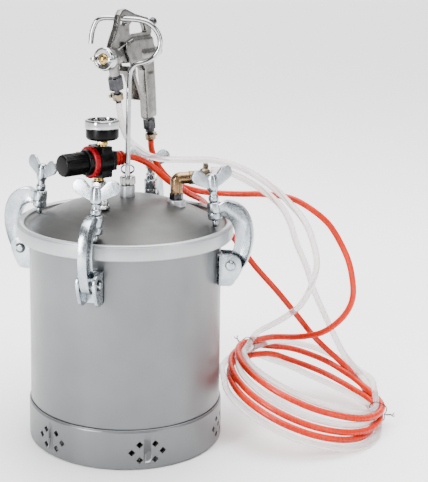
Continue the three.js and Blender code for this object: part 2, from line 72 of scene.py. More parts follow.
def turned_frame(origin, x_axis, z_axis=(0, 0, 1)):
    """A frame in millimetres at origin, with +X and +Z laid along these directions."""
    z = Vector(z_axis).normalized()
    x = Vector(x_axis)
    x = (x - z * x.dot(z)).normalized()
    y = z.cross(x)
    rotation = Matrix((x, y, z)).transposed().to_4x4()
    return Matrix.Translation(Vector(origin)) @ rotation


# ---------------------------------------------------------------- camera

CAMERA_AT = (0.4122, -1.3054, 0.6081)
CAMERA_TILT = radians(81.64)
CAMERA_TURN = radians(17.52)
CAMERA_LENS = 83.7
CAMERA_SHIFT = (0.184, -0.262)


def make_camera():
    data = bpy.data.cameras.new("camera")
    data.lens = CAMERA_LENS
    data.sensor_width = 36
    data.shift_x, data.shift_y = CAMERA_SHIFT
    camera = bpy.data.objects.new("camera", data)
    camera.location = CAMERA_AT
    camera.rotation_euler = (CAMERA_TILT, 0, CAMERA_TURN)
    bpy.context.scene.collection.objects.link(camera)
    bpy.context.scene.camera = camera


make_camera()


# ---------------------------------------------------------------- materials

class Tree:
    """A small builder for a node tree."""

    def __init__(self, owner):
        owner.use_nodes = True
        self.tree = owner.node_tree

    def add(self, kind, **values):
        node = self.tree.nodes.new(kind)
        for key, value in values.items():
            setattr(node, key, value)
        return node

    def link(self, source, target):
        self.tree.links.new(source, target)

    def spread(self, source, low_out, high_out, low_in=0.3, high_in=0.7, ease="LINEAR"):
        node = self.add("ShaderNodeMapRange", interpolation_type=ease)
        for key, value in zip(("From Min", "From Max", "To Min", "To Max"), (low_in, high_in, low_out,
                high_out)):
            node.inputs[key].default_value = value
        self.link(source, node.inputs["Value"])
        return node.outputs["Result"]


class Nodes(Tree):
    """A small builder for one material."""

    def __init__(self, name):
        self.material = bpy.data.materials.new(name)
        super().__init__(self.material)
        self.shader = self.tree.nodes["Principled BSDF"]
        self.place = self.add("ShaderNodeTexCoord").outputs["Object"]

    def stretched(self, scale):
        mapping = self.add("ShaderNodeMapping")
        mapping.inputs["Scale"].default_value = scale
        self.link(self.place, mapping.inputs["Vector"])
        return mapping.outputs["Vector"]

    def noise(self, scale, detail=4.0, roughness=0.55, vector=None):
        node = self.add("ShaderNodeTexNoise")
        node.inputs["Scale"].default_value = scale
        node.inputs["Detail"].default_value = detail
        node.inputs["Roughness"].default_value = roughness
        self.link(vector or self.place, node.inputs["Vector"])
        return node.outputs["Fac"]

    def mix(self, factor, first, second):
        node = self.add("ShaderNodeMix", data_type="RGBA")
        self.link(factor, node.inputs["Factor"])
        for socket, value in zip((node.inputs["A"], node.inputs["B"]), (first, second)):
            if isinstance(value, tuple):
                socket.default_value = (*value, 1)
            else:
                self.link(value, socket)
        return node.outputs["Result"]

    def blend(self, pattern, first, second):
        return self.mix(self.spread(pattern, 0.0, 1.0), first, second)

    def painted_crevice_shade(self, distance):
        """A mask for painted shade: high in corners and where pieces meet, low on open faces."""
        node = self.add("ShaderNodeAmbientOcclusion", samples=6, only_local=False)
        node.inputs["Distance"].default_value = distance
        return self.spread(node.outputs["AO"], 1.0, 0.0, 0.35, 0.9)

    def bump(self, height, strength, distance, normal=None):
        node = self.add("ShaderNodeBump")
        node.inputs["Strength"].default_value = strength
        node.inputs["Distance"].default_value = distance
        self.link(height, node.inputs["Height"])
        if normal:
            self.link(normal, node.inputs["Normal"])
        return node.outputs["Normal"]

    def finish(self, color=None, rough=None, normal=None, **values):
        for socket, value in (("Base Color", color), ("Roughness", rough), ("Normal", normal)):
            if value is not None:
                self.link(value, self.shader.inputs[socket])
        for key, value in values.items():
            self.shader.inputs[key.replace("_", " ")].default_value = value
        return self.material


def enamel(name, dark, light, rough, streak=0.35):
    """Sprayed metallic enamel: fine flake, faint orange peel, soft handling marks and painted shade in the
    corners.
    """
    n = Nodes(name)
    broad = n.noise(9, 3)
    flake = n.noise(2600, 1)
    smudge = n.noise(34, 5, 0.65, n.stretched((1, 1, streak)))
    tone = n.blend(broad, dark, light)
    grainy = n.mix(n.spread(flake, 0.0, 0.22), tone, tuple(min(1, c * 1.45) for c in light))
    # Painted shade: the colour darkens where the ambient occlusion mask finds corners and joins.
    corner_shaded_tone = n.mix(n.spread(n.painted_crevice_shade(0.006), 0.0, 0.3, 0.0, 1.0), grainy, tuple(c * 0.42 for c in dark))
    sheen = n.spread(smudge, rough - 0.06, rough + 0.09)
    peel = n.bump(n.noise(420, 2), 0.09, 0.0004)
    fine = n.bump(flake, 0.1, 0.0001, peel)
    return n.finish(corner_shaded_tone, sheen, fine, Metallic=0.62, Coat_Weight=0.16, Coat_Roughness=0.3)


def plated(name, dark, light, rough, grain=0.12, metallic=1.0, scale=240):
    """Cast or turned metal under plating: mottled tone, fine pitting and painted shade in the corners."""
    n = Nodes(name)
    mottle = n.noise(70, 5, 0.6)
    pits = n.noise(scale, 6, 0.7)
    fine = n.noise(scale * 7, 2)
    tone = n.blend(mottle, dark, light)
    pitted = n.mix(n.spread(pits, 0.35, 0.0, 0.3, 0.5), tone, tuple(c * 0.55 for c in dark))
    # Painted shade: the colour darkens where the ambient occlusion mask finds corners and joins.
    crevice_shaded_tone = n.mix(n.spread(n.painted_crevice_shade(0.003), 0.0, 0.6, 0.0, 1.0), pitted, tuple(c * 0.28 for c in dark))
    sheen = n.spread(pits, rough - 0.07, rough + 0.12)
    normal = n.bump(fine, grain * 0.6, 0.0002, n.bump(pits, grain, 0.0006))
    return n.finish(crevice_shaded_tone, sheen, normal, Metallic=metallic)


def moulded(name, dark, light, rough, coat=0.0, shine=0.5):
    """Moulded plastic or rubber: fine texture, with painted shade that dulls and darkens the corners."""
    n = Nodes(name)
    cloud = n.noise(60, 4)
    fine = n.noise(1500, 3)
    tone = n.blend(cloud, dark, light)
    # Painted shade: the colour darkens where the ambient occlusion mask finds corners and joins.
    corner_shaded_tone = n.mix(n.spread(n.painted_crevice_shade(0.002), 0.0, 0.3, 0.0, 1.0), tone,
        tuple(0.3 * c + 0.002 for c in dark))
    sheen = n.spread(n.noise(130, 5), rough - 0.06, rough + 0.1)
    return n.finish(corner_shaded_tone, sheen, n.bump(fine, 0.12, 0.0002), Coat_Weight=coat, Specular_IOR_Level=shine)


def hose_orange():
    """Smooth extruded hose: an orange colour, with faint lengthwise rubs."""
    n = Nodes("orange_hose_skin")
    cloud = n.noise(25, 4)
    rubs = n.noise(300, 4, 0.7, n.stretched((1, 1, 0.3)))
    tone = n.blend(cloud, (0.5, 0.013, 0.0), (0.6, 0.02, 0.0))
    worn = n.mix(n.spread(rubs, 0.0, 0.1, 0.55, 0.75), tone, (0.64, 0.035, 0.002))
    return n.finish(worn, n.spread(rubs, 0.2, 0.36), n.bump(rubs, 0.04, 0.0002), Specular_IOR_Level=0.25)


def hose_clear():
    """Clear vinyl with a faint tint: lets most light through and hazes a little."""
    n = Nodes("clear_hose_skin")
    cloud = n.noise(30, 4)
    haze = n.noise(160, 5, 0.6)
    tone = n.blend(cloud, (0.84, 0.76, 0.76), (0.93, 0.89, 0.88))
    return n.finish(tone, n.spread(haze, 0.1, 0.26), n.bump(haze, 0.06, 0.0004), Transmission_Weight=0.72,
        IOR=1.22)


def window_glass():
    n = Nodes("window_glass")
    smear = n.noise(80, 4)
    return n.finish(n.blend(smear, (0.95, 0.97, 0.97), (1.0, 1.0, 1.0)), n.spread(smear, 0.02, 0.1),
        n.bump(smear, 0.01, 0.0002), Transmission_Weight=1.0, IOR=1.1)


ENAMEL = enamel("pot_enamel", (0.112, 0.116, 0.12), (0.146, 0.151, 0.155), 0.34)
LID_ENAMEL = enamel("lid_enamel", (0.038, 0.0375, 0.036), (0.052, 0.051, 0.049), 0.42)
RIM_ENAMEL = enamel("rim_enamel", (0.29, 0.3, 0.31), (0.37, 0.38, 0.39), 0.34)
ZINC = plated("bright_zinc", (0.3, 0.335, 0.365), (0.48, 0.52, 0.555), 0.23, 0.06)
NICKEL = plated("dull_nickel", (0.3, 0.3, 0.3), (0.42, 0.42, 0.41), 0.22, 0.05)
CHROME = plated("polished_chrome", (0.4, 0.405, 0.41), (0.5, 0.505, 0.51), 0.08, 0.015)
CAST = plated("tumbled_casting", (0.11, 0.107, 0.102), (0.25, 0.242, 0.23), 0.22, 0.3, scale=160)
BRASS = plated("turned_brass", (0.34, 0.22, 0.06), (0.52, 0.37, 0.13), 0.2, 0.06)
OLD_BRASS = plated("aged_brass", (0.13, 0.078, 0.036), (0.38, 0.24, 0.125), 0.24, 0.16)
CLIP_BRASS = plated("clip_brass", (0.13, 0.1, 0.06), (0.34, 0.28, 0.19), 0.22, 0.1)
DARK_STEEL = plated("dark_steel", (0.03, 0.03, 0.033), (0.075, 0.075, 0.08), 0.28, 0.14)
BLACK = moulded("black_moulding", (0.001, 0.001, 0.001), (0.003, 0.003, 0.003), 0.28, shine=0.1)
RED = moulded("red_moulding", (0.17, 0.0, 0.003), (0.25, 0.001, 0.006), 0.3, shine=0.15)
COUPLING_RED = moulded("coupling_red", (0.3, 0.003, 0.0), (0.42, 0.007, 0.0), 0.26, shine=0.2)
RUBBER = moulded("gasket_rubber", (0.012, 0.012, 0.012), (0.03, 0.03, 0.03), 0.7)
DIAL = moulded("printed_dial", (0.5, 0.5, 0.48), (0.58, 0.58, 0.56), 0.5)
ORANGE_HOSE = hose_orange()
CLEAR_HOSE = hose_clear()
GLASS = window_glass()
# Painted shade: a near-black finish for the pot's underside and the skirt's inside, where only shade falls,
# so that the vent holes read dark.
PAINTED_SHADE_UNDERSIDE = moulded("painted_shade_underside", (0.002, 0.002, 0.002), (0.004, 0.004, 0.004), 0.8, shine=0.1)


# ---------------------------------------------------------------- mesh tools

SHARP = radians(32)


def linked(name, data):
    made = bpy.data.objects.new(name, data)
    bpy.context.scene.collection.objects.link(made)
    return made


def add_object(name, data, material, body="pot"):
    """Links a piece, gives it its finish and makes it ride on a body."""
    piece = linked(name, data)
    piece.data.materials.append(material)
    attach(piece, body)
    return piece


def as_mesh(name, bm, place=Matrix()):
    """Turns a bmesh in millimetres, in the frame place, into a mesh in metres."""
    bmesh.ops.remove_doubles(bm, verts=bm.verts, dist=1e-4)
    bmesh.ops.recalc_face_normals(bm, faces=bm.faces)
    bmesh.ops.transform(bm, matrix=Matrix.Scale(MM, 4) @ place, verts=bm.verts)
    for face in bm.faces:
        face.smooth = True
    for edge in bm.edges:
        edge.smooth = len(edge.link_faces) == 2 and edge.calc_face_angle(0) < SHARP
    mesh = bpy.data.meshes.new(name)
    bm.to_mesh(mesh)
    bm.free()
    return mesh


def merged(*parts):
    """One bmesh out of several, each freed."""
    whole = bmesh.new()
    for part in parts:
        mesh = bpy.data.meshes.new("part")
        part.to_mesh(mesh)
        part.free()
        whole.from_mesh(mesh)
        bpy.data.meshes.remove(mesh)
    return whole


def moved(bm, matrix):
    bmesh.ops.transform(bm, matrix=matrix, verts=bm.verts)
    return bm


def rounded(points, radius, steps=4):
    """A polyline with each inner corner replaced by an arc of at most this radius."""
    out = [Vector(points[0])]
    for before, corner, after in zip(points, points[1:], points[2:]):
        before, corner, after = Vector(before), Vector(corner), Vector(after)
        first, second = before - corner, after - corner
        reach = min(radius, first.length * 0.45, second.length * 0.45)
        start = corner + first.normalized() * reach
        stop = corner + second.normalized() * reach
        for i in range(steps + 1):
            t = i / steps
            out.append(start * (1 - t) ** 2 + corner * 2 * t * (1 - t) + stop * t ** 2)
    out.append(Vector(points[-1]))
    return out


def loop_of(points, radius, steps=4):
    """A closed outline with its corners rounded, all but the first."""
    return rounded([*points, points[0]], radius, steps)[:-1]


def skinned(rings, closed=False, wrapped=True, capped=False):
    """A skin over rings of points: a ring of one point is a pole, closed joins the last ring to
    the first, wrapped closes each ring and capped fills the two ends."""
    bm = bmesh.new()
    rings = [[bm.verts.new(point) for point in ring] for ring in rings]
    for here, there in zip(rings, rings[1:] + rings[:1] if closed else rings[1:]):
        count = max(len(here), len(there))
        for i in range(count if wrapped else count - 1):
            j = (i + 1) % count
            corners = [here[i % len(here)], here[j % len(here)], there[j % len(there)],
                there[i % len(there)]]
            corners = [v for k, v in enumerate(corners) if v not in corners[:k]]
            if len(corners) > 2:
                bm.faces.new(corners)
    if capped:
        bm.faces.new(rings[0][::-1])
        bm.faces.new(rings[-1])
    return bm


def circle(count):
    return np.linspace(0, 2 * pi, count, endpoint=False)


def lathe(profile, segments=64, ease=0.5):
    """A body of revolution about Z, from (radius, height) pairs with eased corners."""
    line = rounded(profile, ease, 2) if ease else profile
    return skinned([[(r * cos(a), r * sin(a), z) for a in circle(segments)] if r > 1e-4 else [(0, 0, z)]
                    for r, z in line])


def turning(profile, segments=64, ease=0.5):
    """A lathe body whose flat ends run in to the axis."""
    return lathe([(0, profile[0][1]), *profile, (0, profile[-1][1])], segments, ease)


def closed_lathe(profile, segments=64, ease=0.5):
    """A ring: the profile is a loop away from the axis."""
    line = rounded([*profile, *profile[:2]], ease, 2)[1:-1]
    return skinned([[(r * cos(a), r * sin(a), z) for r, z in line] for a in circle(segments)], closed=True,
        wrapped=False)


def prism(outline, thickness, bevel=0.0, segments=2):
    """An outline in the XZ plane, given thickness along Y about y = 0, with rounded edges."""
    bm = bmesh.new()
    front = [bm.verts.new((p[0], -thickness / 2, p[1])) for p in outline]
    back = [bm.verts.new((p[0], thickness / 2, p[1])) for p in outline]
    bm.faces.new(front)
    bm.faces.new(back[::-1])
    for i in range(len(front)):
        j = (i + 1) % len(front)
        bm.faces.new((front[i], back[i], back[j], front[j]))
    bmesh.ops.recalc_face_normals(bm, faces=bm.faces)
    if bevel:
        rims = [e for e in bm.edges if abs(e.verts[0].co.y - e.verts[1].co.y) < 1e-6]
        bmesh.ops.bevel(bm, geom=rims, offset=bevel, segments=segments, affect="EDGES", profile=0.6,
            clamp_overlap=True)
    return bm


def block(low_corner, high_corner, bevel=0.8, segments=2):
    bm = bmesh.new()
    bmesh.ops.create_cube(bm, size=1)
    size = [b - a for a, b in zip(low_corner, high_corner)]
    middle = [(a + b) / 2 for a, b in zip(low_corner, high_corner)]
    bmesh.ops.transform(bm, matrix=Matrix.Translation(middle) @ Matrix.Diagonal((*size, 1)), verts=bm.verts)
    if bevel:
        bmesh.ops.bevel(bm, geom=bm.edges[:], offset=bevel, segments=segments, affect="EDGES", profile=0.6,
            clamp_overlap=True)
    return bm


def hexagon(radius, z0, z1, chamfer=0.12):
    """A hex bar on Z whose corners are chamfered at both ends, as on a nut."""
    flat = radius * cos(pi / 6)
    cut = radius * chamfer * 0.7
    rows = []
    for z, limit in ((z0, flat * 0.97), (z0 + cut, radius), (z1 - cut, radius), (z1, flat * 0.97)):
        row = []
        for a in circle(48):
            off_flat = pi / 6 - abs((a + pi / 6) % (pi / 3) - pi / 6)
            reach = min(flat / cos(off_flat), limit)
            row.append((reach * cos(a), reach * sin(a), z))
        rows.append(row)
    return skinned(rows, capped=True)


def torus(major, minor, around=48, section=12):
    return skinned([[((major + minor * cos(b)) * cos(a), (major + minor * cos(b)) * sin(a),
        minor * sin(b)) for b in circle(section)] for a in circle(around)], closed=True)


def catmull(points, steps=8):
    """A smooth polyline through all the points, with centripetal spacing."""
    pts = [Vector(p) for p in points]
    pts = [pts[0] * 2 - pts[1], *pts, pts[-1] * 2 - pts[-2]]
    out = []
    for p0, p1, p2, p3 in zip(pts, pts[1:], pts[2:], pts[3:]):
        t1 = max((p1 - p0).length, 1e-6) ** 0.5
        t2 = t1 + max((p2 - p1).length, 1e-6) ** 0.5
        t3 = t2 + max((p3 - p2).length, 1e-6) ** 0.5
        for i in range(steps):
            t = t1 + (t2 - t1) * i / steps
            a1 = p0 * ((t1 - t) / t1) + p1 * (t / t1)
            a2 = p1 * ((t2 - t) / (t2 - t1)) + p2 * ((t - t1) / (t2 - t1))
            a3 = p2 * ((t3 - t) / (t3 - t2)) + p3 * ((t - t2) / (t3 - t2))
            b1 = a1 * ((t2 - t) / t2) + a2 * (t / t2)
            b2 = a2 * ((t3 - t) / (t3 - t1)) + a3 * ((t - t1) / (t3 - t1))
            out.append(b1 * ((t2 - t) / (t2 - t1)) + b2 * ((t - t1) / (t2 - t1)))
    out.append(pts[-2])
    return out


def swept(path, radius, sides=16):
    """A round tube along a polyline."""
    tangents = [(path[min(i + 1, len(path) - 1)] - path[max(i - 1, 0)]).normalized()
                for i in range(len(path))]
    normal = tangents[0].orthogonal().normalized()
    rings = []
    for point, tangent in zip(path, tangents):
        normal = (normal - tangent * normal.dot(tangent)).normalized()
        side = tangent.cross(normal)
        rings.append([point + (normal * cos(a) + side * sin(a)) * radius for a in circle(sides)])
    return skinned(rings, capped=True)


def between(start, stop):
    """The frame at start whose +Z points at stop."""
    start, stop = Vector(start), Vector(stop)
    turn = (stop - start).to_track_quat("Z", "Y").to_matrix().to_4x4()
    return Matrix.Translation(start) @ turn


def settled_mesh(name, holder):
    """The mesh that an object's modifiers make; the object is removed."""
    graph = bpy.context.evaluated_depsgraph_get()
    result = bpy.data.meshes.new_from_object(holder.evaluated_get(graph))
    result.name = name
    bpy.data.objects.remove(holder)
    return result


def all_smooth(mesh):
    for polygon in mesh.polygons:
        polygon.use_smooth = True
    return mesh


def remeshed(name, bm, place, voxel, smooth):
    """Fuses overlapping forms into one skin and softens the joins."""
    mesh = as_mesh(name, bm, place)
    holder = linked(name + "_raw", mesh)
    fuse = holder.modifiers.new("fuse", "REMESH")
    fuse.mode = "VOXEL"
    fuse.voxel_size = voxel * MM
    fuse.adaptivity = 0
    soften = holder.modifiers.new("soften", "CORRECTIVE_SMOOTH")
    soften.iterations = smooth
    soften.use_only_smooth = True
    soften.factor = 0.5
    return all_smooth(settled_mesh(name, holder))


def pierced(name, mesh, tools):
    """Cuts tool shapes out of a mesh, all in metres."""
    body = linked(name + "_raw", mesh)
    tool = linked(name + "_tool", tools)
    cut = body.modifiers.new("cut", "BOOLEAN")
    cut.object = tool
    cut.operation = "DIFFERENCE"
    cut.solver = "EXACT"
    result = settled_mesh(name, body)
    bpy.data.objects.remove(tool)
    return result


def solid_piece(name, bm, place, material, node=None, body="pot", slot=None):
    """One finished piece from a bmesh, standing for the CAD node named."""
    piece = add_object(name, as_mesh(name, bm, place), material, body)
    if node:
        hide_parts(node)
    return piece


def add_material(piece, material, where):
    """Gives the faces whose centre passes the test a second material."""
    piece.data.materials.append(material)
    index = len(piece.data.materials) - 1
    for polygon in piece.data.polygons:
        if where(polygon.center / MM):
            polygon.material_index = index


# ---------------------------------------------------------------- hoses

# Routes from each fitting to the coil, in metres.
AIR_FROM_REGULATOR = [(-0.005, 0.0134, 0.351), (0.0028, 0.0232, 0.3498), (0.0115, 0.0312, 0.345),
    (0.022, 0.0385, 0.3375), (0.041, 0.051, 0.317), (0.054, 0.069, 0.303), (0.062, 0.091, 0.291),
    (0.067, 0.114, 0.2815), (0.071, 0.136, 0.2695), (0.08, 0.145, 0.254), (0.094, 0.147, 0.239),
    (0.114, 0.146, 0.215), (0.138, 0.149, 0.184), (0.166, 0.157, 0.151), (0.192, 0.17, 0.115),
    (0.214, 0.181, 0.084), (0.231, 0.186, 0.0655)]
AIR_FROM_GUN = [(0.0125, 0.0706, 0.3644), (0.013, 0.0728, 0.3516), (0.0185, 0.0765, 0.334),
    (0.0275, 0.085, 0.317), (0.0385, 0.098, 0.3035), (0.053, 0.113, 0.294), (0.071, 0.126, 0.288),
    (0.096, 0.131, 0.2865), (0.122, 0.128, 0.288), (0.15, 0.127, 0.29), (0.187, 0.127, 0.287),
    (0.211, 0.127, 0.276), (0.236, 0.127, 0.257), (0.252, 0.126, 0.234), (0.264, 0.125, 0.209),
    (0.27, 0.123, 0.184), (0.271, 0.125, 0.164), (0.265, 0.132, 0.143), (0.251, 0.142, 0.121),
    (0.228, 0.156, 0.099), (0.2, 0.166, 0.087), (0.174, 0.168, 0.083)]
FLUID_FROM_GUN = [(-0.0061, -0.007, 0.4223), (-0.0054, -0.004, 0.4106), (-0.0049, 0.0002, 0.3995),
    (-0.0044, 0.005, 0.389), (-0.0024, 0.0105, 0.3795), (0.002, 0.016, 0.37), (0.009, 0.022, 0.362),
    (0.02, 0.027, 0.3535), (0.036, 0.032, 0.348), (0.067, 0.039, 0.347), (0.102, 0.048, 0.3465),
    (0.141, 0.051, 0.3365), (0.178, 0.056, 0.313), (0.197, 0.062, 0.294), (0.215, 0.071, 0.269),
    (0.225, 0.078, 0.24), (0.228, 0.089, 0.212), (0.219, 0.11, 0.177), (0.209, 0.128, 0.154),
    (0.199, 0.141, 0.137), (0.186, 0.152, 0.123), (0.172, 0.16, 0.11), (0.155, 0.163, 0.098),
    (0.141, 0.159, 0.09)]
FLUID_FROM_POT = [(0.1013, 0.036, 0.3366), (0.112, 0.0422, 0.336), (0.123, 0.0495, 0.3315),
    (0.143, 0.063, 0.3195), (0.165, 0.077, 0.302), (0.182, 0.088, 0.283), (0.192, 0.097, 0.26),
    (0.197, 0.11, 0.235), (0.209, 0.129, 0.196), (0.218, 0.142, 0.161), (0.235, 0.16, 0.114),
    (0.254, 0.172, 0.07), (0.262, 0.175, 0.057)]
HOSE_D = 0.008
COIL_R = 0.0986
COIL_TILT = radians(18.3)
COIL_TILT_AZ = radians(-10)
COIL_TURNS = 3
COIL_STEP = 0.005

# Angles round the coil run against its winding from its left end. At its two ties the strands
# lie in a bundle, and between them they fan out: offsets are (outwards, up) in metres, for the
# first, second and third time a hose passes.
TIE_RIGHT_AT = 200
TIE_LEFT_AT = -14
BACK_AT = -80
TIED = {"air": ((-0.0043, -0.0088), (0.0043, 0.0), (0.0043, 0.0088)), "fluid": ((0.0043, -0.0088),
    (-0.0043, 0.0), (-0.0043, 0.0088))}
FRONT = {"air": ((0.007, -0.0035), (-0.003, 0.0025), (-0.027, 0.014)), "fluid": ((0.019, -0.009),
    (-0.014, 0.0075), (-0.034, 0.0205))}
BACK = {"air": ((-0.015, -0.009), (0.0, 0.002)), "fluid": ((-0.028, -0.015), (0.012, 0.009))}
FRONT_SHAPE = ((165, 0.45), (135, 0.85), (95, 1.0), (60, 0.85), (25, 0.45), (5, 0.15))
BACK_SHAPE = ((-35, 0.3), (-55, 0.75), (-80, 1.0), (-110, 0.85), (-138, 0.4))

coil_low, coil_high = (np.array(corner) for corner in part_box("hose_coil"))
COIL_AT = (coil_low + coil_high) / 2
coil_up = np.array([sin(COIL_TILT) * cos(COIL_TILT_AZ), sin(COIL_TILT) * sin(COIL_TILT_AZ), cos(COIL_TILT)])
coil_left = np.array([-cos(COIL_TILT) * cos(COIL_TILT_AZ), -cos(COIL_TILT) * sin(COIL_TILT_AZ),
    sin(COIL_TILT)])
coil_front = np.cross(coil_up, coil_left)


def on_coil(angle, out=0.0, up=0.0):
    """The point at an angle in degrees round the coil, offset outwards and along its normal."""
    a = radians(angle)
    spoke = coil_left * cos(a) + coil_front * sin(a)
    return COIL_AT + spoke * (COIL_R + out) + coil_up * up


def coil_place(point):
    """The angle, outward offset and height of a point, the other way round."""
    v = np.array(point) - COIL_AT
    up = v @ coil_up
    flat = v - up * coil_up
    angle = degrees(atan2(flat @ coil_front, flat @ coil_left))
    return angle, np.linalg.norm(flat) - COIL_R, up


def coil_stations(hose, first, last):
    """(angle, out, up) from where a hose enters the coil to where it leaves it."""
    angle, out, up = coil_place(first)
    entry = angle % 360
    stations = [(entry, out, up), (entry - 17, out + 0.009, up - 0.012)]
    for turn in range(COIL_TURNS):
        base = -360 * turn
        tied = np.array(TIED[hose][turn])
        stations.append((base + TIE_RIGHT_AT, *tied))
        for at, share in FRONT_SHAPE:
            stations.append((base + at, *(tied + (np.array(FRONT[hose][turn]) - tied) * share)))
        stations.append((base + TIE_LEFT_AT, *tied))
        if turn + 1 < COIL_TURNS:
            following = np.array(TIED[hose][turn + 1])
            middle = np.array(BACK[hose][turn])
            for at, share in BACK_SHAPE:
                ends = tied if at > BACK_AT else following
                stations.append((base + at, *(ends + (middle - ends) * share)))
    angle, out, up = coil_place(last)
    turned_back = angle % 360 - 360 * COIL_TURNS
    stations.append((turned_back, out, up))
    return stations


def resampled(points, step):
    points = np.array(points)
    along = np.concatenate(([0], np.cumsum(np.linalg.norm(np.diff(points, axis=0), axis=1))))
    count = max(2, int(round(along[-1] / step)) + 1)
    at = np.linspace(0, along[-1], count)
    return np.column_stack([np.interp(at, along, points[:, k]) for k in range(3)])


def drawn_hose(hose, start_run, end_run):
    """A first line for a whole hose, and which of its points may still move."""
    stations = coil_stations(hose, start_run[-1], end_run[-1])
    angles = [-s[0] for s in stations]
    turns = np.arange(angles[0], angles[-1], 3.0)
    outs = np.interp(turns, angles, [s[1] for s in stations])
    ups = np.interp(turns, angles, [s[2] for s in stations])
    coil = [on_coil(-a, o, u) for a, o, u in zip(turns, outs, ups)][2:-2]
    head = resampled([np.array(p) for p in catmull(start_run)], COIL_STEP)
    tail = resampled([np.array(p) for p in catmull(end_run)], COIL_STEP)[::-1]
    middle = resampled([head[-1], *coil, tail[0]], COIL_STEP)[1:-1]
    line = np.vstack([head, middle, tail])
    free = np.zeros(len(line), bool)
    free[len(head) - 4:len(head) + len(middle) + 4] = True
    return line, free


def settle(lines, frees, rounds=260):
    """Lets the hoses lie on and beside each other: strands keep a diameter apart, bend
    smoothly, keep their spacing and stay off the floor and the pot."""
    apart = HOSE_D * 1.02
    lengths = [len(line) for line in lines]
    x = np.vstack(lines)
    goal = x.copy()
    free = np.concatenate(frees)
    owner = np.repeat(np.arange(len(lines)), lengths)
    order = np.concatenate([np.arange(n) for n in lengths])
    inner = np.where(free & (order > 1) & (order < np.array(lengths)[owner] - 2))[0]
    pot_r = millimetres(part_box("base_skirt")[1]).x * MM + HOSE_D / 2 + 0.001
    for turn in range(rounds):
        if turn % 10 == 0:
            gap = np.linalg.norm(x[:, None] - x[None], axis=2)
            near = gap < apart * 2
            same = owner[:, None] == owner[None]
            near &= ~(same & (np.abs(order[:, None] - order[None]) < 9))
            first, second = np.where(np.triu(near, 1))
        smooth = (4 * (x[inner - 1] + x[inner + 1]) - x[inner - 2] - x[inner + 2]) / 6
        x[inner] += (smooth - x[inner]) * 0.5
        x[inner] += (goal[inner] - x[inner]) * (0.02 if turn < rounds * 0.6 else 0.004)
        span = x[second] - x[first]
        distance = np.maximum(np.linalg.norm(span, axis=1), 1e-6)
        short = np.maximum(apart - distance, 0)
        push = span / distance[:, None] * (short * 0.5)[:, None]
        step = np.zeros_like(x)
        hits = np.zeros(len(x))
        np.add.at(step, second, push)
        np.add.at(step, first, -push)
        np.add.at(hits, second, short > 0)
        np.add.at(hits, first, short > 0)
        x[inner] += (step / np.maximum(hits, 1)[:, None])[inner]
        x[inner, 2] = np.maximum(x[inner, 2], HOSE_D / 2 + 0.0003)
        radius = np.hypot(x[inner, 0], x[inner, 1])
        outward = np.maximum(pot_r / np.maximum(radius, 1e-6), 1)
        x[inner, :2] *= outward[:, None]
    starts = np.cumsum([0, *lengths])
    return [x[a:b] for a, b in zip(starts, starts[1:])]


def hose_curve(name, line, material):
    """A round hose along a line, with a point every 12 mm or so."""
    points = resampled(line, COIL_STEP * 2.4)
    data = bpy.data.curves.new(name, "CURVE")
    data.dimensions = "3D"
    data.resolution_u = 5
    data.bevel_depth = HOSE_D / 2
    data.bevel_resolution = 6
    data.use_fill_caps = True
    spline = data.splines.new("BEZIER")
    spline.bezier_points.add(len(points) - 1)
    for knot, point in zip(spline.bezier_points, points):
        knot.co = point
        knot.handle_left_type = knot.handle_right_type = "AUTO"
    return add_object(name, data, material)


def tie_loop(name, angle, hoses):
    """A plastic-covered wire pulled round the bundle, its ends twisted and cut short."""
    middle = on_coil(angle)
    along = on_coil(angle + 2) - on_coil(angle - 2)
    along /= np.linalg.norm(along)
    side = np.cross(along, coil_up)
    near = []
    for line in hoses:
        offset = line - middle
        close = (np.abs(offset @ along) < 0.003) & (np.linalg.norm(offset, axis=1) < 0.035)
        near += [(float(o @ side), float(o @ coil_up)) for o in offset[close]]
    centre = np.mean(near, axis=0)
    loop = []
    for i in range(40):
        a = 2 * pi * i / 40
        ray = np.array([cos(a), sin(a)])
        reach = max(float((np.array(p) - centre) @ ray) for p in near) + HOSE_D / 2 + 0.0006
        loop.append(centre + ray * reach)
    ring = [Vector(middle + side * p + coil_up * q) / MM for p, q in loop]
    ring.append(ring[0])
    knot = ring[0] + Vector(side) * 1.2
    twist = []
    for i in range(26):
        a = i * 0.9
        lean = Vector(side) * (i * 0.28) + Vector(coil_up) * (i * 0.12)
        twist.append(knot + lean + (Vector(along) * cos(a) + Vector(coil_up) * sin(a)) * 0.7)
    wires = [swept(ring, 0.6, 8), swept(catmull(twist, 2), 0.6, 8)]
    for spread in (-1, 1):
        tip = twist[-1]
        bent = [tip, tip + Vector(side) * 2 + Vector(along) * spread * 1.5,
            tip + Vector(side) * 3.5 + Vector(along) * spread * 4 + Vector(coil_up) * 2.5]
        wires.append(swept(catmull(bent, 4), 0.6, 8))
    return solid_piece(name, merged(*wires), Matrix(), TIE_BLACK)


TIE_BLACK = moulded("tie_covering", (0.01, 0.01, 0.01), (0.03, 0.03, 0.03), 0.45)
air_line, air_free = drawn_hose("air", AIR_FROM_REGULATOR, AIR_FROM_GUN)
fluid_line, fluid_free = drawn_hose("fluid", FLUID_FROM_POT, FLUID_FROM_GUN)
air_line, fluid_line = settle([air_line, fluid_line], [air_free, fluid_free])
air_hose = hose_curve("air_hose", air_line, ORANGE_HOSE)
fluid_hose = hose_curve("fluid_hose", fluid_line, CLEAR_HOSE)
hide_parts("air_hose_pot_run", "air_hose_gun_run", "hose_coil")
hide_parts("fluid_hose_pot_run", "fluid_hose_gun_run", "hose_coil")
left_tie = tie_loop("left_tie", TIE_LEFT_AT, [air_line, fluid_line])
right_tie = tie_loop("right_tie", TIE_RIGHT_AT, [air_line, fluid_line])


# ---------------------------------------------------------------- pot and lid

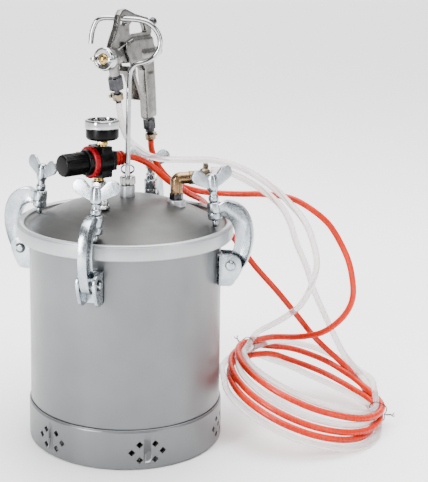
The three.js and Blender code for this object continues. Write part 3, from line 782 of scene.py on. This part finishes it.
ALONG_X = spun(90, "Y")
ALONG_Y = spun(-90, "X")
UPRIGHT = Matrix()
DOME_R = 118
DOME_EDGE = 271
DOME_APEX = 305
SKIRT_R = 122
SKIRT_Z = 47.8
VENT_Z = 22
VENT_ROW = 9.6
VENT_PITCH = 19
VENT_HALF = 3.1
LID_T = 3.5
AIR_PORT = (-27.8, -19.8)
FLUID_PORT = (62, 15)
VALVE_AT = (-9.2, -54.3)
REG_Z = 351
PIN_AT = (137.5, 230)
HANGER_PLACE = spun(17.5, "Z")
ROD_FOOT = shift(3, 0, 0)
REG_PLACE = shift(*AIR_PORT, REG_Z) @ spun(55.5, "Z")
PORT_PLACE = shift(*FLUID_PORT, 0) @ spun(28, "Z")
ELBOW_Z = 328


def dome_z(radius):
    """Height of the lid's outer face at a radius."""
    rise = DOME_APEX - DOME_EDGE
    sphere = (DOME_R ** 2 + rise ** 2) / (2 * rise)
    return DOME_APEX - sphere + sqrt(sphere ** 2 - radius ** 2)


def make_pot():
    wall = [(0, 33), (60, 36), (100, 40), (113, 43), (120, 50), (120, 256.5), (122, 257.8), (128, 258.2),
        (128, 263), (117.5, 263), (117.5, 51), (111, 46), (60, 39), (0, 36)]
    shell = solid_piece("pot_shell", lathe(wall, 160, 1.2), UPRIGHT, ENAMEL, "tank_shell")
    # Painted shade: the shell's underside, inside the skirt, gets the near-black finish.
    add_material(shell, PAINTED_SHADE_UNDERSIDE, lambda at: at.z < 48)
    bead = torus(120.3, 0.9, 160, 10)
    solid_piece("skirt_weld", moved(bead, shift(0, 0, SKIRT_Z + 0.6)), UPRIGHT, ENAMEL)


def smooth_wall(mesh):
    """Shades the upright walls as true cylinders, however a boolean has cut them up."""
    normals = [None] * len(mesh.loops)
    for polygon in mesh.polygons:
        middle = Vector((polygon.center.x, polygon.center.y, 0)).normalized()
        upright = polygon.normal.dot(middle)
        for loop in polygon.loop_indices:
            at = mesh.vertices[mesh.loops[loop].vertex_index].co
            radial = Vector((at.x, at.y, 0)).normalized()
            normals[loop] = radial * copysign(1, upright) if abs(upright) > 0.95 else polygon.normal.copy()
    mesh.normals_split_custom_set(normals)


def make_skirt():
    """The base ring, with its six groups of diamond vent holes."""
    section = [(111, 0), (120, 0), (122, 2), (122, SKIRT_Z - 1.6), (121.2, SKIRT_Z), (120.2, SKIRT_Z),
        (120.2, 4), (119, 3), (111, 3)]
    mesh = as_mesh("vented_skirt", closed_lathe(section, 180, 0.6))
    cutters = []
    for group in range(6):
        middle = radians(-120 + 60 * group)
        for row, count in ((-VENT_ROW, 2), (0, 3), (VENT_ROW, 2)):
            for k in range(count):
                at = middle + (k - (count - 1) / 2) * VENT_PITCH / SKIRT_R
                spin = Matrix.Rotation(at, 4, "Z") @ shift(SKIRT_R - 1, 0, VENT_Z + row)
                hole = block((-6, -VENT_HALF, -VENT_HALF), (6, VENT_HALF, VENT_HALF), 0)
                cutters.append(moved(hole, spin @ spun(45, "X")))
    mesh = pierced("vented_skirt", mesh, as_mesh("vent_cutter", merged(*cutters)))
    smooth_wall(mesh)
    skirt = add_object("vented_skirt", mesh, ENAMEL)
    # Painted shade: the skirt's inner wall gets the near-black finish so that the vent holes read dark.
    add_material(skirt, PAINTED_SHADE_UNDERSIDE, lambda at: hypot(at.x, at.y) < 120.6 and 2 < at.z < 46)
    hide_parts("base_skirt")


def make_lid():
    dome = [(DOME_R * i / 12, dome_z(DOME_R * i / 12)) for i in range(13)]
    under = [(r, z - LID_T) for r, z in dome[::-1]]
    rim = [(121, 270.4), (124.5, 271.6), (127, 274.6), (129.5, 276), (132.6, 276), (134.2, 275.2),
        (134.2, 273.6), (135, 273.0), (135, 258.6), (133.6, 257), (130.5, 257), (130.5, 267), (119, 267)]
    cover = solid_piece("domed_lid", lathe(dome + rim + under, 160, 0.7), UPRIGHT, LID_ENAMEL, "lid")
    add_material(cover, RIM_ENAMEL, lambda at: hypot(at.x, at.y) > 126.5)
    boss = turning([(9.4, 300), (9.4, 317.6), (8.6, 318.6)], 48)
    solid_piece("hanger_boss", boss, HANGER_PLACE @ ROD_FOOT, RIM_ENAMEL)
    base = dome_z(hypot(*FLUID_PORT))
    port = lathe([(0, base - 3.4), (12.4, base - 2.6), (11.5, base + 0.8), (11.5, base + 4.8),
        (10.6, base + 5.6), (0, base + 5.6)], 48)
    solid_piece("port_boss", port, shift(*FLUID_PORT, 0), RIM_ENAMEL)
    base = dome_z(hypot(*AIR_PORT))
    air = lathe([(0, base - 3), (11.6, base - 1.6), (11, base + 0.6), (11, base + 2.8), (10.4, base + 3.4),
        (0, base + 3.4)], 48)
    solid_piece("air_boss", air, shift(*AIR_PORT, 0), LID_ENAMEL)


make_pot()
make_skirt()
make_lid()


# ---------------------------------------------------------------- swing clamps

WING_TURNS = {"front": 90, "right": 46, "back": 80, "left": -32}


def quadratic(points, steps=8):
    """(start, control, end, control, end ...) sampled as a polyline."""
    out = [Vector(points[0])]
    for i in range(0, len(points) - 2, 2):
        a, b, c = (Vector(points[i + k]) for k in range(3))
        for k in range(1, steps + 1):
            t = k / steps
            out.append(a * (1 - t) ** 2 + b * 2 * t * (1 - t) + c * t ** 2)
    return out


def dished(bm, margin, depth):
    """Sinks the two large faces of a plate inside a rim."""
    bm.faces.ensure_lookup_table()
    large = sorted(bm.faces, key=lambda f: f.calc_area())[-2:]
    for face in large:
        bmesh.ops.inset_region(bm, faces=[face], thickness=margin, depth=-depth, use_even_offset=True)
    return bm


def clamp_arm():
    back = quadratic([(128, 308), (152, 308), (160, 284), (166, 262), (158, 240), (154, 226), (146, 221),
        (134, 216), (129, 226), (128, 236), (136, 241.5), (143, 256), (140, 272), (137, 285), (126, 288)])
    outline = [Vector((119, 302.5)), *back, Vector((117, 288))]
    return dished(prism(outline, 10.5, 1.0), 2.6, 1.5)


def clamp_boss():
    return turning([(7.6, 9.5), (8.75, 10.8), (8.75, 17.4), (8.1, 18.2), (8.75, 19), (8.75, 29.4),
        (7.4, 31)], 40)


def wing_bolt():
    stem = turning([(4.5, 8.3), (4.5, 31.4), (6.2, 33), (6.2, 37.5), (4.8, 39), (4.8, 44), (6.6, 46.5),
        (7, 50), (6.5, 60), (5.2, 64.4), (3.6, 65.6)], 40)
    rings = [moved(torus(4.4, 0.45, 32, 8), shift(0, 0, 9.5 + 1.5 * i)) for i in range(15)]
    lobe = [(20 + 9 * cos(a), 64.5 + 9 * sin(a)) for a in np.linspace(-1.1, 2.3, 18)]
    outline = rounded([(0, 49), (5, 47.5), (14, 51.5), *lobe, (6, 63), (0, 62)], 3, 3)
    wings = [prism([(side * p.x, p.y) for p in outline], 3.6, 1.1, 3) for side in (1, -1)]
    return merged(stem, *rings, *wings)


def clamp_bracket():
    ear = loop_of([(120.3, 243), (143, 243.5), (149.5, 239), (151, 229), (147, 218), (139.5, 204),
        (120.3, 203)], 5, 4)
    ears = [moved(prism(ear, 4, 0.7), shift(0, side * 10, 0)) for side in (1, -1)]
    base = block((120.3, -12, 204), (124, 12, 242), 0.6)
    return merged(base, *ears)


def clamp_pin():
    body = turning([(3.8, -15), (4.5, -14.2), (4.5, 14.2), (3.9, 15)], 32)
    head = lathe([(0, -15.8), (4.6, -15.6), (6.1, -14.2), (6.2, -12.5), (0, -12.5)], 40)
    return moved(merged(body, head), shift(PIN_AT[0], 0, PIN_AT[1]) @ ALONG_Y)


def circlip():
    sweep = np.linspace(radians(25), radians(335), 40)
    path = [Vector((5.3 * cos(a), 5.3 * sin(a), 0)) for a in sweep]
    flat = moved(swept(path, 1.15, 10), Matrix.Diagonal((1, 1, 0.55, 1)))
    return moved(flat, shift(PIN_AT[0], 13, PIN_AT[1]) @ ALONG_Y)


def make_clamps():
    for place in PLACES:
        hinge = millimetres(JOINTS[f"clamp_swing_{place}"]["pos_m"])
        outward = Vector((hinge.x, hinge.y, 0)).normalized()
        stand = turned_frame((0, 0, 0), outward)
        foot = JOINTS[f"wing_bolt_turn_{place}"]
        screw = turned_frame(millimetres(foot["pos_m"]), outward, foot["axis"])
        arm = f"clamp_arm_{place}", f"clamp_{place}"
        knuckle = turning([(8.3, -7.6), (9, -6.9), (9, 6.9), (8.3, 7.6)], 40)
        on_pin = stand @ shift(PIN_AT[0], 0, PIN_AT[1]) @ ALONG_Y
        wings = screw @ spun(WING_TURNS[place], "Z")
        shoe = lathe([(0, 0), (2.4, 0.1), (3.7, 1.6), (3.7, 8), (0, 8)], 32)
        for name, bm, at, *stands in (  # with the node that each stands for, and its body
                ("swing_arm", clamp_arm(), stand, *arm),
                ("screw_boss", clamp_boss(), screw, *arm),
                ("knuckle", knuckle, on_pin, *arm),
                ("wing_screw", wing_bolt(), wings, f"wing_bolt_{place}", f"bolt_{place}"),
                ("screw_shoe", shoe, screw, f"clamp_foot_{place}", f"foot_{place}"),
                ("hinge_lug", clamp_bracket(), stand, f"clamp_bracket_{place}"),
                ("hinge_pin", clamp_pin(), stand, f"clamp_pin_{place}")):
            solid_piece(f"{name}_{place}", bm, at, ZINC, *stands)
        solid_piece(f"circlip_{place}", circlip(), stand, DARK_STEEL)


make_clamps()


# ---------------------------------------------------------------- hanger rod

def make_hanger():
    route = [(3, 319), (3, 335), (3.5, 380), (4.5, 440), (5.2, 455), (7.5, 464), (13, 469), (23, 471.5),
        (34, 477), (41.5, 488), (42.5, 500), (38, 511), (29, 519.5), (17, 523.5), (0, 525), (-15, 526),
        (-27, 526), (-34, 523), (-38, 516), (-40.5, 508), (-42, 495)]
    line = catmull([(x, 0, z) for x, z in route], 10)
    solid_piece("bent_rod", swept(line, 3.2, 28), HANGER_PLACE, CHROME, "hanger_rod")
    at = HANGER_PLACE @ ROD_FOOT
    solid_piece("lock_nut", hexagon(9.9, 319, 329.9, 0.16), at, NICKEL, "hanger_lock_nut")
    loop = moved(torus(8, 0.8, 56, 12), shift(0, 0, 338.2) @ spun(-58, "X"))
    second = moved(torus(8, 0.8, 56, 12), shift(0, 0, 339.2) @ spun(-52, "X"))
    solid_piece("split_ring", merged(loop, second), at, CHROME, "chain_ring", "chain_ring", "zinc_plate")


make_hanger()


# ---------------------------------------------------------------- regulator and gauge

def ribbed_grip():
    """The pressure knob, with ribs round its side."""
    bm = turning([(11.6, -56), (13.2, -54.8), (13.4, -40), (13.4, -25), (13, -23.3)], 72)
    ribs = []
    for i in range(30):
        rib = block((-0.62, -0.5, -52.5), (0.62, 0.6, -25.5), 0.3)
        ribs.append(moved(rib, spun(12 * i, "Z") @ shift(0, 13.4, 0)))
    return merged(bm, *ribs)


def bonnet_ring():
    """The red ring between body and knob, with notches round its edge."""
    core = turning([(17.4, -17.4), (19.2, -16), (19.2, -11.2), (18, -9.5)], 72)
    teeth = []
    for i in range(24):
        tooth = block((-1.6, -0.8, -15.8), (1.6, 0.8, -11.4), 0.35)
        teeth.append(moved(tooth, spun(15 * i, "Z") @ shift(0, 19.2, 0)))
    return merged(core, *teeth)


def make_regulator():
    across = REG_PLACE @ ALONG_X
    core = moved(turning([(17.6, -9), (18.5, -8), (18.5, 10.6), (17, 12)], 64), ALONG_X)
    middle = block((-6, -15, -19.4), (10, 15, 19.4), 1.6)
    outlet = block((11, -12, -12), (19.5, 12, 12), 1.4)
    top = turning([(9.2, 15), (9.2, 19.4)], 40)
    solid_piece("regulator_block", merged(core, middle, outlet, top), REG_PLACE, BLACK, "regulator_body")
    solid_piece("notched_ring", bonnet_ring(), across, RED, "regulator_bonnet")
    solid_piece("bonnet", turning([(14.6, -23.1), (15.6, -22.4), (16.6, -17.6)], 64), across, BLACK,
        "regulator_bonnet")
    solid_piece("pressure_knob", ribbed_grip(), across, BLACK, "regulator_knob", "regulator_knob")
    solid_piece("coupling_collar", turning([(6.9, 19.8), (6.9, 21.6)], 40), across, BRASS)
    solid_piece("hose_coupling", turning([(7.2, 21), (9.3, 22.4), (9.3, 25.6), (7.7, 26.3), (7.7, 27.2),
        (9.3, 27.9), (9.3, 30.6), (7.7, 31.3), (7.7, 32.2), (9.3, 32.9), (9.2, 35.4), (6.2, 39.5)], 48),
        across, COUPLING_RED, "air_outlet_coupling")
    solid_piece("inlet_plug", turning([(7.5, 19.3), (7.5, 26), (5.5, 27), (5.5, 34), (4.4, 36), (5.6, 38),
        (5.6, 45), (4.9, 46)], 40), REG_PLACE @ ALONG_Y, BRASS, "air_inlet_plug")
    base = dome_z(hypot(*AIR_PORT)) + 3.7 - REG_Z
    riser = merged(hexagon(10.2, base, -25, 0.14), turning([(5.2, -26), (5.2, -19.7)], 32))
    solid_piece("riser_nut", riser, REG_PLACE, NICKEL, "regulator_riser")
    solid_piece("riser_neck", turning([(6.3, -24.9), (6.6, -23.8), (6.3, -22.6), (5.9, -21.6),
        (6.3, -20.6), (5.9, -19.8)], 40), REG_PLACE, BRASS)


def dial_marks():
    """Generic divisions on the gauge's dial, every fifth one longer and wider; no figures."""
    marks = []
    for i in range(41):
        inner, half = (11.6, 0.16) if i % 5 == 0 else (13.2, 0.09)
        bar = block((inner, -half, 42.18), (14.8, half, 42.3), 0)
        marks.append(moved(bar, spun(225 - 270 * i / 40, "Z")))
    return merged(*marks)


def make_gauge():
    place = REG_PLACE @ shift(-1.1, -8.7, 0)
    stem = merged(turning([(5, 19.7), (5, 27.7)], 32), hexagon(7.6, 21.6, 26.4, 0.12))
    solid_piece("gauge_foot", stem, place, BRASS, "gauge_stem")
    solid_piece("gauge_shell", turning([(15.5, 28), (18.6, 29), (20.3, 31.4), (20.3, 42)], 96), place,
        BLACK, "gauge_case")
    bezel = closed_lathe([(18.2, 42.1), (20.8, 42.1), (21.5, 43.2), (21.5, 51.2), (20.4, 53), (18.4, 53),
        (18, 51)], 96, 0.4)
    solid_piece("gauge_rim", bezel, place, CHROME, "gauge_bezel")
    solid_piece("gauge_dial", turning([(18.1, 41.9), (18.1, 42.2)], 64, 0), place, DIAL)
    solid_piece("gauge_marks", dial_marks(), place, BLACK, slot="dial_face")
    solid_piece("gauge_glass_disc", lathe([(0, 48.4), (17.9, 47.8), (17.9, 49.2), (0, 49.8)], 64, 0),
        place, GLASS, "gauge_lens")


make_regulator()
make_gauge()


# ---------------------------------------------------------------- safety valve and fluid outlet

def make_valve():
    place = shift(*VALVE_AT, dome_z(hypot(*VALVE_AT)) + 1.6)
    body = merged(hexagon(7, 0, 4.6, 0.14), lathe([(0, 4), (4.8, 4.4), (4.8, 10.4), (4.2, 11.2), (3, 12),
        (0, 12)], 32))
    solid_piece("relief_valve", body, place, NICKEL, "safety_valve", slot="brass")
    eye = moved(torus(4.6, 0.9, 40, 12), shift(0, 0, 19.6) @ spun(90, "X"))
    stem = turning([(1.1, 12.3), (1.1, 15.4)], 20, 0.2)
    solid_piece("relief_ring", merged(eye, stem), place, NICKEL, "safety_valve_ring", "valve_ring")


def make_elbow():
    base = dome_z(hypot(*FLUID_PORT)) + 5.9
    leg = merged(hexagon(8.9, base, base + 8.4, 0.1), turning([(6.9, base + 7), (7.6, base + 9),
        (7.6, ELBOW_Z)], 48))
    bend = [Vector((0, 0, base + 10)), Vector((0, 0, ELBOW_Z - 5))]
    bend += [Vector((5 - 5 * cos(a), 0, ELBOW_Z - 5 + 5 * sin(a))) for a in np.linspace(0.2, 1.57, 8)]
    bend += [Vector((14, 0, ELBOW_Z)), Vector((24, 0, ELBOW_Z))]
    body = swept(bend, 7.5, 36)
    rim = moved(turning([(8.1, 15.5), (8.4, 16.5), (8.4, 23), (7.8, 24)], 40), shift(0, 0, ELBOW_Z)
        @ ALONG_X)
    elbow = solid_piece("brass_elbow", merged(leg, body, rim), PORT_PLACE, OLD_BRASS, "fluid_elbow")
    add_material(elbow, DARK_STEEL, lambda at: at.z < base + 8)
    hexed = moved(hexagon(7.1, 24.3, 30, 0.1), shift(0, 0, ELBOW_Z) @ ALONG_X)
    tail = moved(turning([(3.3, 0), (3.3, 16)], 24), between((28, 0, ELBOW_Z + 1), (43, 0, ELBOW_Z + 8)))
    solid_piece("barbed_tail", merged(hexed, tail), PORT_PLACE, NICKEL, "fluid_hose_tail",
        slot="dark_steel")
    along = between((33, 0, ELBOW_Z + 3.6), (41.7, 0, ELBOW_Z + 7.4))
    band = moved(closed_lathe([(5.4, 0), (7, 0), (7.3, 1), (7.3, 8.5), (7, 9.4), (5.4, 9.4)], 48, 0.3),
        along)
    lug = block((34.2, -3, ELBOW_Z + 11.5), (39.8, 3, ELBOW_Z + 17.6), 0.8)
    screw = moved(turning([(2.6, -6), (2.6, -4), (1.5, -4), (1.5, 5)], 20), shift(37, 0, ELBOW_Z + 14.4)
        @ ALONG_Y)
    solid_piece("tail_clip", merged(band, lug, screw), PORT_PLACE, CLIP_BRASS, "fluid_hose_clamp")


make_valve()
make_elbow()


# ---------------------------------------------------------------- spray gun

# In the gun's frame -Y is forwards and the trigger turns about X. Side outlines are
# (backwards, height).
trigger_pin = millimetres(JOINTS["trigger_pull"]["pos_m"])
gun_across = Vector(JOINTS["trigger_pull"]["axis"])
gun_back = Vector((0, 0, 1)).cross(gun_across).normalized()
GUN = turned_frame(Vector((trigger_pin.x, trigger_pin.y, 0)) - gun_back * 3.5, gun_across)
SIDEWAYS = spun(90, "Z")
FORWARDS = shift(0, 0, 479) @ spun(90, "X")
FEED = shift(0, -14.5, 455.5) @ spun(15, "X")
GRIP_END = shift(0, 69, 393.5) @ spun(10, "X")


def gun_side(outline, thickness, across=0.0, bevel=1.0):
    return moved(prism(outline, thickness, bevel), shift(across, 0, 0) @ SIDEWAYS)


def gun_casting():
    hook = [(-31, 488), (-26, 499), (-15, 516), (-10, 530), (-3, 536.5), (6, 537.5), (30, 530), (60, 524),
        (66, 518), (70, 505), (60, 492), (20, 492)]
    frame_side = [(-15, 472), (-15, 489), (20, 500), (68, 500), (74, 486), (72, 470), (76, 440), (80, 396),
        (58, 394), (55, 420), (49, 458), (40, 468)]
    grip = loop_of([(52, 456), (70, 456), (74, 440), (78, 400), (60, 398), (57, 420)], 4)
    barrel = moved(turning([(9, 8), (11, 10.5), (11, 22.5), (12.5, 24), (12.5, 31)], 48), FORWARDS)
    feed = moved(turning([(6.5, 0), (6.5, 18)], 40), FEED)
    rear = moved(lathe([(0, -74), (7.6, -74), (8.4, -70), (8.4, -40), (0, -36)], 40), FORWARDS)
    return merged(gun_side(hook, 8), gun_side(frame_side, 13.4, 0, 2.4), gun_side(grip, 15, 0, 4), barrel,
        feed, rear)


def make_gun_body():
    mesh = remeshed("gun_casting", gun_casting(), GUN, 0.9, 5)
    eye = [(-8, 519), (-8, 526), (-5, 529), (5, 529), (8, 526), (8, 519), (4, 516.5), (-4, 516.5)]
    window = loop_of([(14, 505), (13, 517), (22, 522), (52, 517), (58, 506)], 2.5)
    bore = moved(turning([(7, 22.5), (7, 35)], 32), FORWARDS)
    tools = merged(gun_side(eye, 24, 0, 0), gun_side(window, 24, 0, 0), bore)
    mesh = all_smooth(pierced("gun_casting", mesh, as_mesh("gun_tools", tools, GUN)))
    casting = add_object("gun_casting", mesh, CAST)
    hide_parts("gun_body")


def hose_clip(z0, z1, radius):
    band = closed_lathe([(radius, z0), (radius + 1.4, z0), (radius + 1.6, z0 + 0.6),
        (radius + 1.6, z1 - 0.6), (radius + 1.4, z1), (radius, z1)], 40, 0.25)
    ears = block((-2.4, radius + 0.8, z0 + 0.6), (2.4, radius + 6.6, z1 - 0.6), 0.6)
    screw = turning([(2.3, -5.4), (2.3, -3.6), (1.3, -3.6), (1.3, 5)], 20)
    across = shift(0, radius + 4.4, (z0 + z1) / 2) @ ALONG_X
    return merged(band, ears, moved(screw, across))


def make_gun_fittings():
    cap = closed_lathe([(7.2, 31.3), (13.4, 31.3), (14.5, 33), (14.5, 40.5), (13.2, 42.2), (12.2, 42.6),
        (11.6, 41.2), (7.2, 41.4)], 72, 0.4)
    horns = []
    for side in (1, -1):
        horn = turning([(3.3, 37), (3.3, 46.5), (2.4, 49.5)], 28)
        horns.append(moved(horn, shift(side * 11.4, 0, 0)))
        horns.append(moved(turning([(2.9, -2.1), (2.9, 2.1)], 24), shift(side * 12.1, 0, 44.5) @ ALONG_X))
    solid_piece("spray_cap", merged(cap, *horns), GUN @ FORWARDS, CHROME, "gun_air_cap", "air_cap")
    solid_piece("fluid_tip", turning([(6.7, 22.8), (6.7, 41.2), (5.4, 43.4), (2.6, 44.4), (2, 46)], 48),
        GUN @ FORWARDS, BRASS, "gun_nozzle")
    ear = loop_of([(-2, 497), (7, 497), (11, 480), (15, 466), (19, 456), (13, 457), (8, 470), (-3, 486)], 2)
    pull = loop_of([(12, 462), (19, 464), (26, 450), (33, 436), (38, 426), (39, 421), (35, 421), (28, 434),
        (20, 448)], 2)
    bridge = [(10, 460), (12, 466), (19, 466), (22, 456), (12, 456)]
    lever = merged(gun_side(ear, 2, 8.4, 0.4), gun_side(ear, 2, -8.4, 0.4), gun_side(bridge, 18.8, 0, 0.8),
        gun_side(pull, 15, 0, 1.2))
    solid_piece("trigger_lever", lever, GUN, CAST, "gun_trigger", "trigger")
    feed = merged(hexagon(10, -16, -0.3, 0.1), turning([(3.6, -34), (3.6, -15)], 24),
        turning([(7.4, -0.4), (7.4, 1.6)], 32))
    solid_piece("fluid_nut", feed, GUN @ FEED, DARK_STEEL, "gun_fluid_inlet")
    solid_piece("fluid_clip", hose_clip(-30, -22, 5.2), GUN @ FEED @ spun(70, "Z"), CLIP_BRASS,
        "gun_fluid_clamp")
    inlet = merged(hexagon(8.9, -13, -0.3, 0.12), turning([(3.6, -29.5), (3.6, -18), (6, -17.6), (6, -12)],
        32))
    solid_piece("air_nut", inlet, GUN @ GRIP_END, DARK_STEEL, "gun_air_inlet")
    solid_piece("air_clip", hose_clip(-28, -20.5, 5.2), GUN @ GRIP_END, CLIP_BRASS, "gun_air_clamp")
    solid_piece("needle_knob", turning([(6.5, -92), (7.5, -90.5), (7.5, -80), (4, -78.5), (4, -74.5)], 40),
        GUN @ FORWARDS, CHROME, "gun_fluid_knob", "fluid_knob")
    fan = turning([(3, 0.4), (3, 5), (5.2, 6), (5.2, 12.4), (4.6, 13)], 32)
    fan_at = shift(0, 68.5, 514) @ spun(-68, "X")
    solid_piece("pattern_knob", fan, GUN @ fan_at, DARK_STEEL, "gun_fan_knob", "fan_knob")


make_gun_body()
make_gun_fittings()


# ---------------------------------------------------------------- CAD pieces shown as they are

for node, finish in (("lid_gasket", RUBBER), ("pickup_tube", NICKEL), ("gauge_needle", BLACK)):
    shown = frame["nodes"][node].data
    shown.materials.clear()
    shown.materials.append(finish)


# ---------------------------------------------------------------- floor and light

BACKDROP = 3.2
NEAR_ROOM = 0.55
SIDE_WALLS = 0.22
WALLS_OFF_CENTRE = 0.07
TO_THE_RIGHT = (0.9536, 0.3011, 0)
AWAY_AND_UP = (-0.3011, 0.9536, 0.25)


def make_floor():
    bm = bmesh.new()
    bmesh.ops.create_grid(bm, x_segments=1, y_segments=1, size=40)
    mesh = bpy.data.meshes.new("floor")
    bm.to_mesh(mesh)
    bm.free()
    floor = linked("floor", mesh)
    n = Nodes("floor_paper")
    soft = n.noise(3, 3)
    paper = n.blend(soft, (0.93, 0.93, 0.93), (0.95, 0.95, 0.95))
    # The paper glows a little as painted light, more so away from the pot, so that it runs into the
    # backdrop; near the pot the glow fades out, which paints shade round and under the pot and keeps the
    # vent holes dark.
    reach = n.add("ShaderNodeVectorMath", operation="LENGTH")
    n.link(n.place, reach.inputs[0])
    glow = n.spread(reach.outputs["Value"], 0.0, 1.0, 0.12, 0.5)
    n.link(glow, n.shader.inputs["Emission Strength"])
    floor.data.materials.append(n.finish(paper, Specular_IOR_Level=0.2, Emission_Color=(1, 1, 1, 1)))


def area_light(name, location, target, size, power):
    data = bpy.data.lights.new(name, "AREA")
    data.shape = "RECTANGLE"
    data.size, data.size_y = size
    data.energy = power
    lamp = linked(name, data)
    lamp.location = location
    lamp.rotation_euler = (Vector(target) - Vector(location)).to_track_quat("-Z", "Y").to_euler()


def make_light():
    """A white backdrop beyond the object, a dimmer room on the camera's side and darker walls to
    both sides, so that round metal gets dark edges; softboxes add the highlights."""
    world = bpy.data.worlds.new("studio")
    bpy.context.scene.world = world
    n = Tree(world)
    background = n.tree.nodes["Background"]
    background.inputs["Color"].default_value = (1, 1, 1, 1)
    direction = n.add("ShaderNodeTexCoord").outputs["Generated"]

    def computed(kind, operation, *sources):
        node = n.add(kind, operation=operation)
        for socket, source in zip(node.inputs, sources):
            if isinstance(source, bpy.types.NodeSocket):
                n.link(source, socket)
            else:
                socket.default_value = source
        return node.outputs["Value"]

    across = computed("ShaderNodeVectorMath", "DOT_PRODUCT", direction, TO_THE_RIGHT)
    aside = computed("ShaderNodeMath", "ABSOLUTE", computed("ShaderNodeMath", "SUBTRACT", across,
        WALLS_OFF_CENTRE))
    walls = n.spread(aside, 1.0, SIDE_WALLS, 0.24, 0.4, "SMOOTHSTEP")
    away = computed("ShaderNodeVectorMath", "DOT_PRODUCT", direction, AWAY_AND_UP)
    depth = n.spread(away, NEAR_ROOM, BACKDROP, -0.15, 0.35, "SMOOTHSTEP")
    n.link(computed("ShaderNodeMath", "MULTIPLY", walls, depth), background.inputs["Strength"])
    area_light("key", (-0.75, -1.5, 0.75), (0, 0, 0.2), (0.35, 1.1), 48)
    area_light("top", (0.25, 0.25, 2.2), (0.1, 0.1, 0.2), (2.2, 2.2), 105)
    area_light("side", (1.75, -0.75, 0.8), (0, 0, 0.25), (0.3, 1.2), 14)


make_floor()
make_light()
